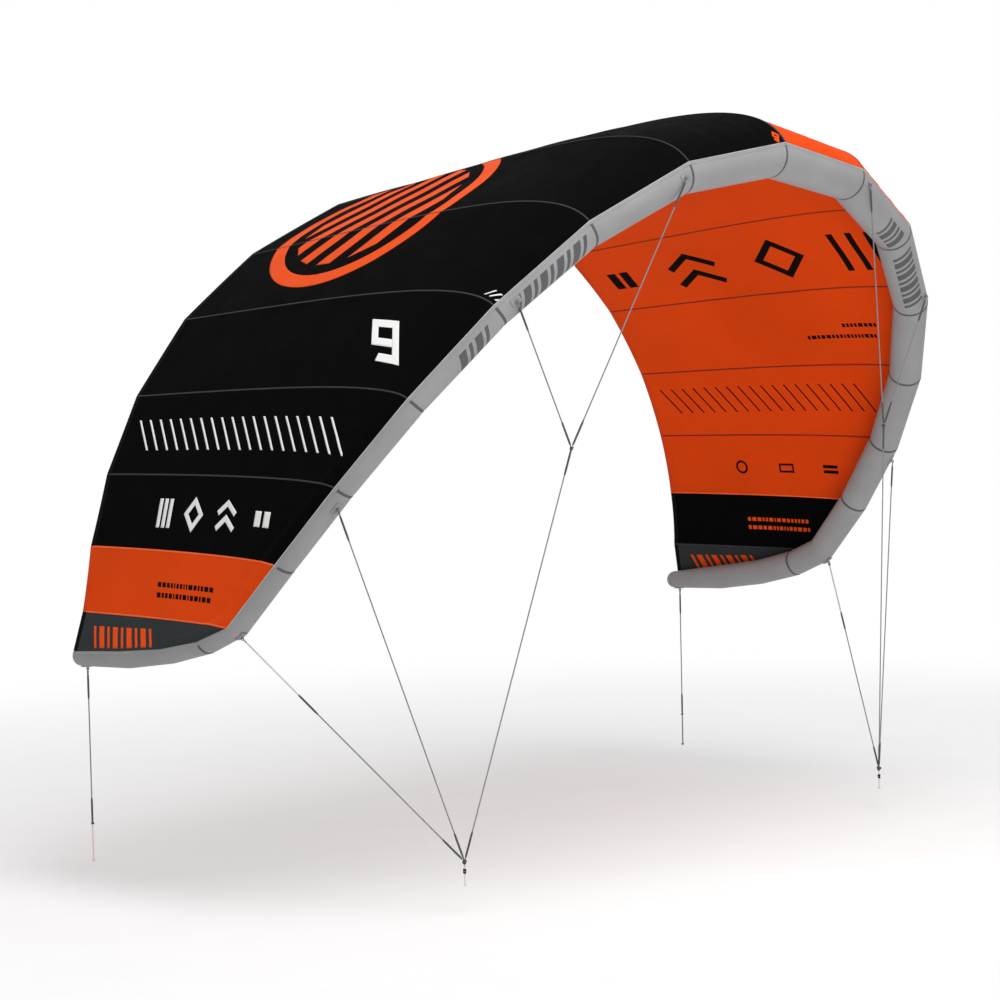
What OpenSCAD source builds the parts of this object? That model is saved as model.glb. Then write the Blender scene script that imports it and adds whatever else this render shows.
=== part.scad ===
// Strutless inflatable kitesurf kite, in flight shape and held at its centre.
// +X runs to the right wing, +Y from the leading edge to the trailing edge, +Z up.
// The origin is the middle of the leading edge tube.
// The cloth is laid out flat as (s, y): s runs along the arc from the centre, y runs back.

/* [Arc and panels] */
// Radius of the arc that the kite makes seen from the front
arc_radius = 1845; // [1750:5:1950]
// Width of the canopy panel beside the centre seam, along the arc
first_panel_w = 552; // [540:1:560]
// How much narrower each panel is than the one before it
panel_step = 53; // [50:0.5:55]
// Distance from the tube centre to the trailing edge at the middle
centre_chord = 1720; // [1650:5:1800]
// How far back the trailing edge runs for each metre of arc
te_sweep = 87; // [60:1:100]
// How far back each wing's trailing edge bows out past that line
te_bow = 60; // [40:1:80]
// How far each wing's trailing edge hangs below the arc
te_drop = 44; // [30:1:60]
// How far the seams lean towards the centre at the trailing edge, at most
te_lean = 20; // [0:1:30]
// How far each panel's trailing edge is hollowed between its seams
te_scallop = 4; // [0:1:16]
// Thickness of the canopy solids
cloth_t = 1.6; // [1.2:0.1:2]
// Width of the doubled band along the trailing edge
band_w = 22; // [18:1:26]
// Thickness of the doubled band along the trailing edge
band_t = 2.4; // [2:0.1:3]

/* [Leading edge] */
// How far back the leading edge has gone where the tip bend starts
sweep_back = 1100; // [1050:5:1150]
// Power of the leading edge sweep curve
sweep_power = 2.4; // [2.3:0.05:2.5]
// Tube radius at the centre
tube_r = 87; // [82:0.5:92]
// How much the tube radius drops for each metre of tube
tube_taper = 8.8; // [8:0.1:9.5]
// Tube radius at its end
tube_end_r = 39.5; // [37:0.5:42]
// Thickness of the tube cover
cover_t = 1.2; // [1:0.1:1.5]
// Thickness of the bladder inside the cover
bladder_t = 0.8; // [0.6:0.1:1]

/* [Tips] */
// Angle between the first tip section of the tube and the chord
tip_heading = 23.5; // [22:0.5:25]
// Share of that angle that each next tip section keeps
tip_heading_keep = 0.59; // [0.55:0.01:0.62]
// Length of the first tip section
tip_section = 166; // [160:1:172]
// How much longer each next tip section is
tip_section_step = 37; // [34:1:40]

/* [Profile] */
// Angle round the tube, from the canopy side, where the cloth leaves it at the centre
leave_angle = 148; // [140:1:152]
// The same angle at the end of the tube
leave_angle_tip = 58; // [54:1:62]
// How far the profile follows the tube's own slope at the centre
front_fullness = 280; // [250:5:310]
// Slope of the cloth at the trailing edge at the centre
te_slope = 9; // [6:0.5:11]
// Share of the chord that the trailing edge slope governs
te_fullness = 0.55; // [0.45:0.01:0.6]

/* [Bridle] */
// Diameter of a bridle line
line_d = 5; // [4:0.5:6]
// Diameter of the sleeve over a spliced line end
sleeve_d = 8; // [7:0.5:9]
// Length of each sleeve
sleeve_len = 110; // [80:5:140]
// Length of the rear line between its two knots
rear_len = 590; // [560:5:620]
// Length of the rear pigtail
rear_pigtail_len = 150; // [140:5:160]
// Length of the front pigtail
front_pigtail_len = 92; // [85:1:100]
// Diameter of a pigtail
pigtail_d = 6; // [5:0.5:7]

/* [Valve] */
// Diameter of the valve's flange
valve_flange_d = 64; // [58:1:70]
// Diameter of the valve's neck
valve_neck_d = 30; // [28:1:34]
// Diameter of the hole that takes the pump nozzle
valve_bore_d = 13; // [11:0.5:15]
// Where the valve sits, to the right of the centre
valve_x = 165; // [140:5:200]

/* [Hidden] */
WINGS = ["left", "right"];

panels = 8;          // canopy panels in each wing
bend = 7;            // tube joint at which the tip bend starts
last = 11;           // tube joint at the end of the tube
sides = 24;          // sides of a tube ring
u_steps = 4;         // strips across one panel
t_steps = 12;        // strips along one chord
fullness_power = 1.8; // how fast the front fullness drops towards the tips
least_fullness = 8;  // front fullness that is left at the tips
seam_gap = 5;        // room between the tube and the cloth that starts on it
bladder_room = 3;    // room between the tube cover and the bladder
tape_w = 12;         // width of the tape over a tube joint
TAPED = [each [1:6], 8];             // joints with a tape, besides the middle one
eye_r = 6;           // ring radius of a bridle tab's eye
eye_wire = 1.6;      // radius of the eye's wire
eye_out = 9;         // distance of an eye's centre from the tube
knot_r = 11.5;       // front knot
rear_knot_r = 5;     // rear knot
end_knot_r = 7;      // knot that ends a pigtail
line_joint = [1005, 175, -1085];    // where lines 3 and 4 meet the main line
front_joint = [1335, 450, -2590];   // where the front lines meet
// Each tab: tube joint, distance past it
tabs = [[7, 0], [5, 56], [2, 400], [1, 36]];

body_black = "#17181a";
wing_orange = "#e0501c";
tip_grey = "#3f4145";
tube_grey = "#8f9296";
tape_grey = "#5f6266";
line_grey = "#b9bcbf";
sleeve_grey = "#3a3c40";

function unit(v) = v / norm(v);
function mix(a, b, f) = a * (1 - f) + b * f;
function deg(s) = s / arc_radius * 180 / PI;
function out_at(s) = [sin(deg(s)), 0, cos(deg(s))];
function place(p) = [arc_radius * sin(deg(p[0])), p[1], arc_radius * (cos(deg(p[0])) - 1)];

// Arc position of a seam; u may fall between seams
function seam_s(u) = u * first_panel_w - panel_step * u * (u - 1) / 2;

// Tube joints on the flat layout
function flat_joint(j) = j <= bend
  ? [seam_s(j), sweep_back * pow(seam_s(j) / seam_s(bend), sweep_power)]
  : let (k = j - bend - 1, a = tip_heading * pow(tip_heading_keep, k))
    flat_joint(j - 1) + (tip_section + tip_section_step * k) * [sin(a), cos(a)];
FLAT = [for (j = [0:last]) flat_joint(j)];
JOINT = [for (f = FLAT) place(f)];
function along(j) = j == 0 ? 0 : along(j - 1) + norm(JOINT[j] - JOINT[j - 1]);
RADIUS = [for (j = [0:last]) j == last ? tube_end_r : tube_r - tube_taper * along(j) / 1000];
DIR = [for (j = [0:last]) j == 0 ? [1, 0, 0]
  : unit(unit(JOINT[j] - JOINT[j - 1]) + (j == last ? [0, 0, 0] : unit(JOINT[j + 1] - JOINT[j])))];
OUT = [for (j = [0:last]) let (n = out_at(FLAT[j][0])) unit(n - DIR[j] * (n * DIR[j]))];
BACK = [for (j = [0:last]) cross(OUT[j], DIR[j])];
LEAVE = [for (j = [0:last]) mix(leave_angle, leave_angle_tip, pow(j / last, 2))];

function round_dir(j, a) = cos(a) * BACK[j] + sin(a) * OUT[j];
function tube_ring(j, r) = [for (k = [0:sides - 1]) JOINT[j] + r * round_dir(j, -360 * k / sides)];
function flip_x(p) = [-p[0], p[1], p[2]];
function flip_ring(r) = [for (p = r) flip_x(p)];

// Where the cloth starts on the tube, and its direction there
function start_at(j) = JOINT[j] + (RADIUS[j] + seam_gap) * round_dir(j, LEAVE[j]);
function slope_at(j) = sin(LEAVE[j]) * BACK[j] - cos(LEAVE[j]) * OUT[j];
function low(u) = min(floor(u), bend - 1);
function start(u) = mix(start_at(low(u)), start_at(low(u) + 1), u - low(u));
function slope(u) = unit(mix(slope_at(low(u)), slope_at(low(u) + 1), u - low(u)));
function radial(u) = unit(mix(round_dir(low(u), LEAVE[low(u)]),
  round_dir(low(u) + 1, LEAVE[low(u) + 1]), u - low(u)));

// Trailing edge: the corner lies on the end of the tube
corner_s = FLAT[last][0] - tube_end_r * cos(leave_angle_tip);
function wing_share(u) = seam_s(min(u, bend)) / seam_s(bend);
function te_s(u) = u <= bend
  ? seam_s(u) - te_lean * pow(wing_share(u), 3) * sqrt(1 - wing_share(u)) / 0.238
  : mix(seam_s(bend), corner_s, u - bend);
function te_y(u) = centre_chord + te_sweep * te_s(u) / 1000
  + te_bow * wing_share(u) * pow(1 - wing_share(u), 1.5) / 0.186
  - te_scallop * 4 * (u - floor(u)) * (1 - u + floor(u));
function te_inset(u) = te_drop * pow(wing_share(u), 2) * pow(1 - wing_share(u), 5) / 0.0152;
function te_point(u, back) = u <= bend
  ? place([te_s(u), te_y(u) - back]) - te_inset(u) * out_at(te_s(u))
  : mix(te_point(bend, back), tip_line(te_y(panels) - band_w) + [0, band_w - back, 0], u - bend);

// The same point, moved straight out of the tube where it lies closer than the seam gap
function on_axis(p, j) = let (d = JOINT[j + 1] - JOINT[j])
  min(1, max(0, (p - JOINT[j]) * d / (d * d)));
function depth(p, j) = mix(RADIUS[j], RADIUS[j + 1], on_axis(p, j)) + seam_gap
  - norm(p - mix(JOINT[j], JOINT[j + 1], on_axis(p, j)));
function clear(p, j = last - 1) = let (
    q = depth(p, j) <= 0 ? p
      : p + depth(p, j) * unit(p - mix(JOINT[j], JOINT[j + 1], on_axis(p, j))))
  j == 0 ? q : clear(q, j - 1);

// Chord line of the cloth at u: a curve from the tube to the band
function chord_line(u) = let (
    a = start(u), d = te_point(u, band_w), c = norm(d - a), n = out_at(te_s(u)),
    f = pow(max(0, cos(deg(te_s(u)))), fullness_power), b = te_slope * max(0.2, cos(deg(te_s(u)))),
    p = a + (front_fullness * f + least_fullness) * slope(u),
    q = d + te_fullness * c * [0, -cos(b), 0] + te_fullness * c * sin(b) * n)
  [for (i = [0:t_steps]) let (t = pow(i / t_steps, 1.4), r = 1 - t)
    clear(r * r * r * a + 3 * r * r * t * p + 3 * r * t * t * q + t * t * t * d)];
function chord_face(u) = [for (i = [0:t_steps])
  unit(mix(radial(u), out_at(te_s(u)), min(1, 4 * i / t_steps)))];

// Line along the tip of the tube where the last panel is sewn on
TIP = [for (j = [bend:last]) start_at(j)];
function tip_line(y) = [for (x = [0, 1, 2]) lookup(y, [for (p = TIP) [p[1], p[x]]])];
tip_row = chord_line(bend);
tip_start = 20;      // the last panel starts this far past the bend
function tip_y(i) = mix(tip_row[0][1] + tip_start, te_y(panels) - band_w, i / t_steps);
function seam_point(y) = [for (x = [0, 1, 2]) lookup(y, [for (p = tip_row) [p[1], p[x]]])];
function tip_strip(w) = [for (i = [0:t_steps])
  clear(mix(seam_point(tip_y(i)), tip_line(tip_y(i)), w))];

// Closed solid between an outer and an inner grid of points
function quad(a, b, c, d) = [[a, b, c], [a, c, d]];
module skin(outer, inner, ring = false) {
  rows = len(outer);
  cols = len(outer[0]);
  n = rows * cols;
  ends = ring ? cols - 1 : cols - 2;
  at = function (i, k) i * cols + (k % cols);
  polyhedron(
    points = [each [for (row = outer) each row], each [for (row = inner) each row]],
    faces = [
      for (i = [0:rows - 2], k = [0:ends])
        each quad(at(i, k), at(i, k + 1), at(i + 1, k + 1), at(i + 1, k)),
      for (i = [0:rows - 2], k = [0:ends])
        each quad(n + at(i + 1, k), n + at(i + 1, k + 1), n + at(i, k + 1), n + at(i, k)),
      for (k = [0:ends]) each quad(at(0, k + 1), at(0, k), n + at(0, k), n + at(0, k + 1)),
      for (k = [0:ends]) each quad(at(rows - 1, k), at(rows - 1, k + 1),
        n + at(rows - 1, k + 1), n + at(rows - 1, k)),
      if (!ring) for (i = [0:rows - 2])
        each quad(at(i, 0), at(i + 1, 0), n + at(i + 1, 0), n + at(i, 0)),
      if (!ring) for (i = [0:rows - 2])
        each quad(at(i + 1, cols - 1), at(i, cols - 1),
          n + at(i, cols - 1), n + at(i + 1, cols - 1))
    ]);
}

module on_wing(wing) {
  if (wing == "left") mirror([1, 0, 0]) children();
  else children();
}

// Turns +Z onto a direction, at a place
module aim(at, dir) {
  translate(at) rotate([0, acos(dir[2] / norm(dir)), atan2(dir[1], dir[0])]) children();
}

module rod(a, b, r) {
  aim(a, b - a) cylinder(h = norm(b - a), r = r, $fn = 32);
}

module canopy(wing, i) {
  cloth = i == panels ? tip_grey
    : i == bend ? (wing == "left" ? wing_orange : body_black)
    : wing == "left" ? body_black : wing_orange;
  us = [for (k = [0:u_steps]) i - 1 + k / u_steps];
  inner = i == panels ? [for (k = [0:u_steps]) tip_strip(k / u_steps)] : [for (u = us) chord_line(u)];
  face = i == panels ? [for (u = us) [for (k = [0:t_steps]) out_at(te_s(u))]]
    : [for (u = us) chord_face(u)];
  color(cloth) on_wing(wing) skin(inner + cloth_t * face, inner);
}

module tube_cover(wing, i) {
  js = i < bend ? [i - 1, i] : i == bend ? [bend - 1, bend, bend + 1] : [for (j = [bend + 1:last]) j];
  color(tube_grey) on_wing(wing) skin(
    [for (j = js) tube_ring(j, RADIUS[j])],
    [for (j = js) tube_ring(j, RADIUS[j] - cover_t)], ring = true);
}

// Inner bladder: one sock from tip to tip, necked down at both ends
module bladder() {
  room = cover_t + bladder_room;
  necks = [[18, 0.79], [28, 0.56], [31, 0.2]];   // distance past the tube's end, share of radius
  tail = function (thin) [for (n = necks) [for (k = [0:sides - 1])
    JOINT[last] + n[0] * DIR[last] + ((tube_end_r - room) * n[1] - thin)
      * round_dir(last, -360 * k / sides)]];
  half = function (thin) [for (j = [1:last]) tube_ring(j, RADIUS[j] - room - thin), each tail(thin)];
  whole = function (thin) [
    for (i = [len(half(thin)) - 1:-1:0]) flip_ring(half(thin)[i]),
    tube_ring(0, RADIUS[0] - room - thin), each half(thin)];
  color("gainsboro") skin(whole(0), whole(bladder_t), ring = true);
}

// Tapes over the joints of the tube cover
module tube_seam_tapes() {
  tape_t = 0.8;
  gap = 0.1;
  half = tape_w / 2;
  beside = function (j, d) JOINT[j] + d * unit(d > 0 ? JOINT[j + 1] - JOINT[j]
    : JOINT[j] - JOINT[j - 1]);
  row = function (j, d, h) let (r = RADIUS[j] - d * tube_taper / 1000 + h)
    [for (k = [0:sides - 1]) beside(j, d) + r * round_dir(j, -360 * k / sides)];
  middle = function (h) [flip_ring(row(0, half, h)), tube_ring(0, RADIUS[0] + h), row(0, half, h)];
  band = function (j, h) [row(j, -half, h), tube_ring(j, RADIUS[j] + h), row(j, half, h)];
  color(tape_grey) {
    skin(middle(gap + tape_t), middle(gap), ring = true);
    for (wing = WINGS, j = TAPED) on_wing(wing)
      skin(band(j, gap + tape_t), band(j, gap), ring = true);
  }
}

// Doubled hem along the whole trailing edge
module trailing_edge_band() {
  steps = 4;
  us = [for (k = [0:panels * steps]) k / steps];
  section = function (u, h) [for (b = [band_w, 0])
    te_point(u, b) + h * out_at(te_s(u))];
  row = function (h) [
    for (k = [len(us) - 1:-1:1]) [for (p = section(us[k], h)) flip_x(p)],
    for (u = us) section(u, h)];
  color(body_black) skin(row(band_t), row(0));
}

module tip_caps() {
  color(tube_grey) for (wing = WINGS) on_wing(wing)
    aim(JOINT[last], DIR[last]) rotate_extrude($fn = 48) intersection() {
      difference() {
        circle(r = tube_end_r, $fn = 64);
        circle(r = tube_end_r - cover_t, $fn = 64);
      }
      square(tube_end_r);
    }
}

// Place on the tube, and its eye straight ahead of the cloth
function tab_dir(t) = t[1] == 0 ? DIR[t[0]] : unit(JOINT[t[0] + 1] - JOINT[t[0]]);
function tab_front(t) = let (f = -BACK[t[0]], d = tab_dir(t)) unit(f - d * (f * d));
function tab_len(t) = norm(JOINT[t[0] + 1] - JOINT[t[0]]);
function tab_r(t) = mix(RADIUS[t[0]], RADIUS[t[0] + 1], t[1] / tab_len(t));
function tab_slant(t) = (RADIUS[t[0]] - RADIUS[t[0] + 1]) / tab_len(t);
function tab_eye(t) = JOINT[t[0]] + t[1] * tab_dir(t) + (tab_r(t) + eye_out) * tab_front(t);
rear_tab = [last - 1, norm(JOINT[last] - JOINT[last - 1]) - 24];
rear_hang = tab_eye(rear_tab) - [0, 0, eye_r + eye_wire + rear_knot_r + 0.4];

module bridle_tab(t) {
  patch = [44, 28, 1.4];
  eye = tab_eye(t);
  d = tab_dir(t);
  f = tab_front(t);
  s = cross(f, d);
  color(body_black) {
    multmatrix([[d[0], s[0], f[0], eye[0]], [d[1], s[1], f[1], eye[1]], [d[2], s[2], f[2], eye[2]]])
      translate([-patch[0] / 2, -patch[1] / 2, 0.4 + patch[0] / 2 * tab_slant(t) - eye_out])
      cube(patch);
    aim(eye, d) rotate_extrude($fn = 48) translate([eye_r, 0]) circle(r = eye_wire, $fn = 24);
  }
}

module bridle_tabs() {
  for (wing = WINGS) on_wing(wing) {
    for (t = tabs) bridle_tab(t);
    bridle_tab(rear_tab);
  }
}

// Straight line from a to b that stops short of both, with a sleeve at each end
module sleeved_line(wing, a, b, short_a, short_b) {
  d = unit(b - a);
  p = a + short_a * d;
  q = b - short_b * d;
  on_wing(wing) {
    color(line_grey) rod(p, q, line_d / 2);
    color(sleeve_grey) rod(p + 12 * d, p + (12 + sleeve_len) * d, sleeve_d / 2);
    color(sleeve_grey) rod(q - (12 + sleeve_len) * d, q - 12 * d, sleeve_d / 2);
  }
}
tab_short = eye_r + eye_wire + 0.3;
joint_knot_r = 9;

module bridle_line(wing, i) {
  foot = i <= 2 ? front_joint : line_joint;
  short = i <= 2 ? knot_r + 0.5 : joint_knot_r + 0.5;
  sleeved_line(wing, tab_eye(tabs[i - 1]), foot, tab_short, short);
}

module bridle_main(wing) {
  sleeved_line(wing, line_joint, front_joint, 0, knot_r + 0.5);
  color(sleeve_grey) on_wing(wing) translate(line_joint) sphere(r = joint_knot_r, $fn = 32);
}

module front_knot(wing) {
  color(body_black) on_wing(wing) translate(front_joint) sphere(r = knot_r, $fn = 32);
}

// A pigtail hangs straight down from a point and ends in a knot
module pigtail(top, len, gap) {
  rod(top - [0, 0, gap], top - [0, 0, len - end_knot_r], pigtail_d / 2);
  translate(top - [0, 0, len - end_knot_r]) sphere(r = end_knot_r, $fn = 32);
}

module front_pigtail(wing) {
  color(line_grey) on_wing(wing) pigtail(front_joint, front_pigtail_len, knot_r + 0.5);
}

module rear_knot(wing) {
  color(sleeve_grey) on_wing(wing) translate(rear_hang) sphere(r = rear_knot_r, $fn = 32);
}

rear_end = rear_hang - [0, 0, rear_len];
module rear_line(wing) {
  top = rear_hang - [0, 0, rear_knot_r + 0.5];
  on_wing(wing) {
    color(line_grey) rod(top, rear_end, line_d / 2);
    color(sleeve_grey) rod(top - [0, 0, 6], top - [0, 0, 6 + sleeve_len], sleeve_d / 2);
    color(sleeve_grey) rod(rear_end + [0, 0, sleeve_len], rear_end, sleeve_d / 2);
    color(sleeve_grey) translate(rear_end) sphere(r = end_knot_r, $fn = 32);
  }
}

module rear_pigtail(wing) {
  color(wing == "left" ? "#d99a94" : line_grey) on_wing(wing)
    pigtail(rear_end, rear_pigtail_len, end_knot_r + 0.5);
}

// Straight back from the tube, at a distance from the centre
TUBE_BACK = unit(cross(cross(JOINT[1], [0, 1, 0]), JOINT[1]));
function tube_back(x, lift) = let (f = x / norm(JOINT[1]))
  mix(JOINT[0], JOINT[1], f) + (mix(RADIUS[0], RADIUS[1], f) + lift) * TUBE_BACK;

// Valve on the back of the first tube section of the right wing
valve_lift = 0.3;
valve_at = tube_back(valve_x, valve_lift);
valve_neck_h = 22;
valve_cap_h = 4;
valve_gap = 0.3;
hinge_r = valve_cap_h / 2;
hinge_out = valve_neck_d / 2 + 3;
hinge_w = 12;

// Flange and neck, with a lug beside the neck under the cap's hinge
module valve_body() {
  flange_h = 2.4;
  lug = [hinge_out + hinge_r, hinge_w, 5];
  color("white") aim(valve_at, TUBE_BACK) difference() {
    union() {
      cylinder(h = flange_h, d = valve_flange_d, $fn = 96);
      cylinder(h = valve_neck_h, d = valve_neck_d, $fn = 64);
      translate([0, -lug[1] / 2, valve_neck_h - lug[2]]) cube(lug);
    }
    translate([0, 0, -1]) cylinder(h = valve_neck_h + 2, d = valve_bore_d, $fn = 64);
  }
}

module valve_cap() {
  plug_h = 3;
  plug_d = valve_bore_d - 1.8;
  color("dimgray") aim(valve_at, TUBE_BACK) translate([0, 0, valve_neck_h + valve_gap]) {
    cylinder(h = valve_cap_h, d = valve_neck_d + 2, $fn = 64);
    translate([0, 0, -plug_h]) cylinder(h = plug_h + 1, d = plug_d, $fn = 48);
    translate([0, -hinge_w / 2, 0]) cube([hinge_out, hinge_w, valve_cap_h]);
    translate([hinge_out, 0, hinge_r]) rotate([90, 0, 0])
      cylinder(h = hinge_w, r = hinge_r, center = true, $fn = 32);
  }
}

// Webbing loop that a pump leash hooks into, left of the centre on the back of the tube
leash_x = 110;
leash_eye_r = 8;
leash_web_t = 1.6;
leash_web_w = 20;
leash_patch = [36, 26, 1.4];
leash_at = tube_back(leash_x, valve_lift + leash_patch[2] + leash_eye_r + leash_web_t - 0.4);
LEASH_AXIS = cross(TUBE_BACK, JOINT[1]);    // down, along the tube's surface

module pump_leash_loop() {
  color(body_black) on_wing("left") {
    aim(leash_at, LEASH_AXIS) difference() {
      cylinder(h = leash_web_w, r = leash_eye_r + leash_web_t, center = true, $fn = 64);
      cylinder(h = leash_web_w + 2, r = leash_eye_r, center = true, $fn = 64);
    }
    aim(tube_back(leash_x, valve_lift), TUBE_BACK)
      translate([-leash_patch[1] / 2, -leash_patch[0] / 2, 0])
      cube([leash_patch[1], leash_patch[0], leash_patch[2]]);
  }
}

for (wing = WINGS, i = [1:panels]) {
  canopy(wing, i);
  tube_cover(wing, i);
}
for (wing = WINGS) {
  for (i = [1:4])
    bridle_line(wing, i);
  bridle_main(wing);
  front_knot(wing);
  front_pigtail(wing);
  rear_knot(wing);
  rear_line(wing);
  rear_pigtail(wing);
}
bladder();
tube_seam_tapes();
trailing_edge_band();
tip_caps();
bridle_tabs();
valve_body();
valve_cap();
pump_leash_loop();
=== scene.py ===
"""Looks of the strutless inflatable kite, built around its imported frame.

Everything is in metres in the part's own frame: +X is the right wing, +Y runs back from the
leading edge and +Z is up. The cloth is laid out flat as (s, y): s runs along the arc from the
centre and y runs back. Shapes are worked out for the right wing and mirrored for the left.
"""

import math

import bmesh
import bpy
import numpy as np
from mathutils import Matrix


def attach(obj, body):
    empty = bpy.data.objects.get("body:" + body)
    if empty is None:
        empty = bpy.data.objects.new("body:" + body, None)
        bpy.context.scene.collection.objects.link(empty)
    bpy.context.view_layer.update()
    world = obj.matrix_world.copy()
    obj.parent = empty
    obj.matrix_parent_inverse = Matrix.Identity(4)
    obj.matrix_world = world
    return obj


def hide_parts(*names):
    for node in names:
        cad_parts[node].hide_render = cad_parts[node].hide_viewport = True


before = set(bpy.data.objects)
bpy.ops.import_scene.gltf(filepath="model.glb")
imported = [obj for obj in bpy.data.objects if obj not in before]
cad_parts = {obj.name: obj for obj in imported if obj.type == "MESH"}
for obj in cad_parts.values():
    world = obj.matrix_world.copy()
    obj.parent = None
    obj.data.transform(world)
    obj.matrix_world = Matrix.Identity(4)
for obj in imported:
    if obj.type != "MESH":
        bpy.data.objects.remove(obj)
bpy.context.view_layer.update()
WINGS = {"left": -1, "right": 1}
DOWN = np.array([0.0, 0.0, -1.0])


# ---------------------------------------------------------------- the part's layout, in metres

# Driving dimensions of the part, in metres and radians
ARC_R = 1.845
FIRST_PANEL_W = 0.552
PANEL_STEP = 0.053
CENTRE_CHORD = 1.720
TE_SWEEP = 0.087
TE_BOW = 0.060
TE_DROP = 0.044
TE_LEAN = 0.020
BOW_PEAK = 0.186        # greatest value of w (1 - w)^1.5
DROP_PEAK = 0.0152      # greatest value of w^2 (1 - w)^5
LEAN_PEAK = 0.238       # greatest value of w^3 (1 - w)^0.5
TE_SCALLOP = 0.004
BAND_W = 0.022
SWEEP_BACK = 1.100
SWEEP_POWER = 2.4
TUBE_R = 0.087
TUBE_TAPER = 0.0088
TUBE_END_R = 0.0395
TIP_HEADING = math.radians(23.5)
TIP_HEADING_KEEP = 0.59
TIP_SECTION = 0.166
TIP_SECTION_STEP = 0.037
LEAVE_ANGLE = math.radians(148)
LEAVE_ANGLE_TIP = math.radians(58)
FRONT_FULLNESS = 0.280
FULLNESS_POWER = 1.8
LEAST_FULLNESS = 0.008
TE_SLOPE = math.radians(9)
TE_FULLNESS = 0.55
PANELS, BEND, LAST = 8, 7, 11

# Looks of the cloth: gap over the tube, and how much of the arc a panel keeps between its seams
CLOTH_GAP = 0.0018
ARC_SHARE = 0.3

# Section of a sewn tape: places across its width and rise, as shares of width and thickness
DOME_PLACE = np.array([-0.5, -0.42, -0.2, 0, 0.2, 0.42, 0.5])
DOME_RISE = np.array([0.2, 0.8, 1, 1, 1, 0.8, 0.2])


def unit(v):
    return v / np.linalg.norm(v, axis=-1, keepdims=True)


def mix(a, b, f):
    return a * (1 - f) + b * f


def pair(a, b):
    """Grid of pairs (a, b) from two arrays that are spread over each other."""
    return np.stack(np.broadcast_arrays(a, b), -1)


def run_along(points):
    """Distance along a row of points, from its start."""
    steps = np.linalg.norm(np.diff(points, axis=0), axis=1)
    return np.concatenate([[0], np.cumsum(steps)])


def out_at(s):
    a = np.asarray(s, float) / ARC_R
    return np.stack([np.sin(a), 0 * a, np.cos(a)], -1)


def place(s, y):
    s, y = np.broadcast_arrays(np.asarray(s, float), np.asarray(y, float))
    return np.stack([ARC_R * np.sin(s / ARC_R), y, ARC_R * (np.cos(s / ARC_R) - 1)], -1)


def seam_s(u):
    return u * FIRST_PANEL_W - PANEL_STEP * u * (u - 1) / 2


def seam_u(s):
    b = FIRST_PANEL_W + PANEL_STEP / 2
    return (b - np.sqrt(b * b - 2 * PANEL_STEP * np.asarray(s, float))) / PANEL_STEP


def flat_joints():
    bend_s = seam_s(BEND)
    flat = [(seam_s(j), SWEEP_BACK * (seam_s(j) / bend_s) ** SWEEP_POWER) for j in range(BEND + 1)]
    for k in range(LAST - BEND):
        a = TIP_HEADING * TIP_HEADING_KEEP**k
        step = TIP_SECTION + TIP_SECTION_STEP * k
        flat.append((flat[-1][0] + step * math.sin(a), flat[-1][1] + step * math.cos(a)))
    return np.array(flat)


FLAT = flat_joints()
JOINT = place(FLAT[:, 0], FLAT[:, 1])
SEGMENT = np.diff(JOINT, axis=0)
LENGTH = np.linalg.norm(SEGMENT, axis=1)
ALONG = run_along(JOINT)
RADIUS = np.append((TUBE_R - TUBE_TAPER * ALONG)[:-1], TUBE_END_R)
HEAD = unit(SEGMENT)
DIR = unit(np.vstack([[1, 0, 0], HEAD[:-1] + HEAD[1:], HEAD[-1]]))
NORMAL = out_at(FLAT[:, 0])
OUT = unit(NORMAL - DIR * (NORMAL * DIR).sum(1, keepdims=True))
BACK = np.cross(OUT, DIR)

LEAVE = mix(LEAVE_ANGLE, LEAVE_ANGLE_TIP, (np.arange(LAST + 1) / LAST) ** 2)


def split(x, top=LAST - 1):
    x = np.asarray(x, float)
    j = np.clip(np.floor(x), 0, top).astype(int)
    return j, (x - j)[..., None]


def round_dir(j, a):
    a = np.asarray(a)[..., None]
    return np.cos(a) * BACK[j] + np.sin(a) * OUT[j]


def ring_point(x, a, lift=0.0):
    """Point on the tube at x joints, at angle a from the canopy side, lifted off the surface."""
    x, a, lift = np.broadcast_arrays(*(np.asarray(v, float) for v in (x, a, lift)))
    j, f = split(x)
    lift = lift[..., None]
    near = JOINT[j] + (RADIUS[j][..., None] + lift) * round_dir(j, a)
    far = JOINT[j + 1] + (RADIUS[j + 1][..., None] + lift) * round_dir(j + 1, a)
    return mix(near, far, f)


def leave_at(x):
    return np.interp(x, np.arange(LAST + 1), LEAVE)


def start_at(x, gap=CLOTH_GAP):
    return ring_point(x, leave_at(x), gap)


def slope_at(x):
    j, f = split(x, BEND - 1)
    near, far = (round_dir(k, LEAVE[k] - math.pi / 2) for k in (j, j + 1))
    return unit(mix(near, far, f))


def wing_share(u):
    return seam_s(np.minimum(u, BEND)) / seam_s(BEND)


def te_y(u):
    w = wing_share(u)
    bow = TE_BOW * w * (1 - w) ** 1.5 / BOW_PEAK
    return CENTRE_CHORD + TE_SWEEP * te_s(u) + bow - TE_SCALLOP * 4 * (u % 1) * (1 - u % 1)


def te_inset(u):
    w = wing_share(u)
    return TE_DROP * w**2 * (1 - w) ** 5 / DROP_PEAK


CORNER_S = FLAT[LAST, 0] - TUBE_END_R * math.cos(LEAVE_ANGLE_TIP)


def te_s(u):
    u = np.asarray(u, float)
    w = wing_share(u)
    lean = TE_LEAN * w**3 * (1 - w) ** 0.5 / LEAN_PEAK
    return np.where(u <= BEND, seam_s(u) - lean, mix(seam_s(BEND), CORNER_S, u - BEND))


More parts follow.
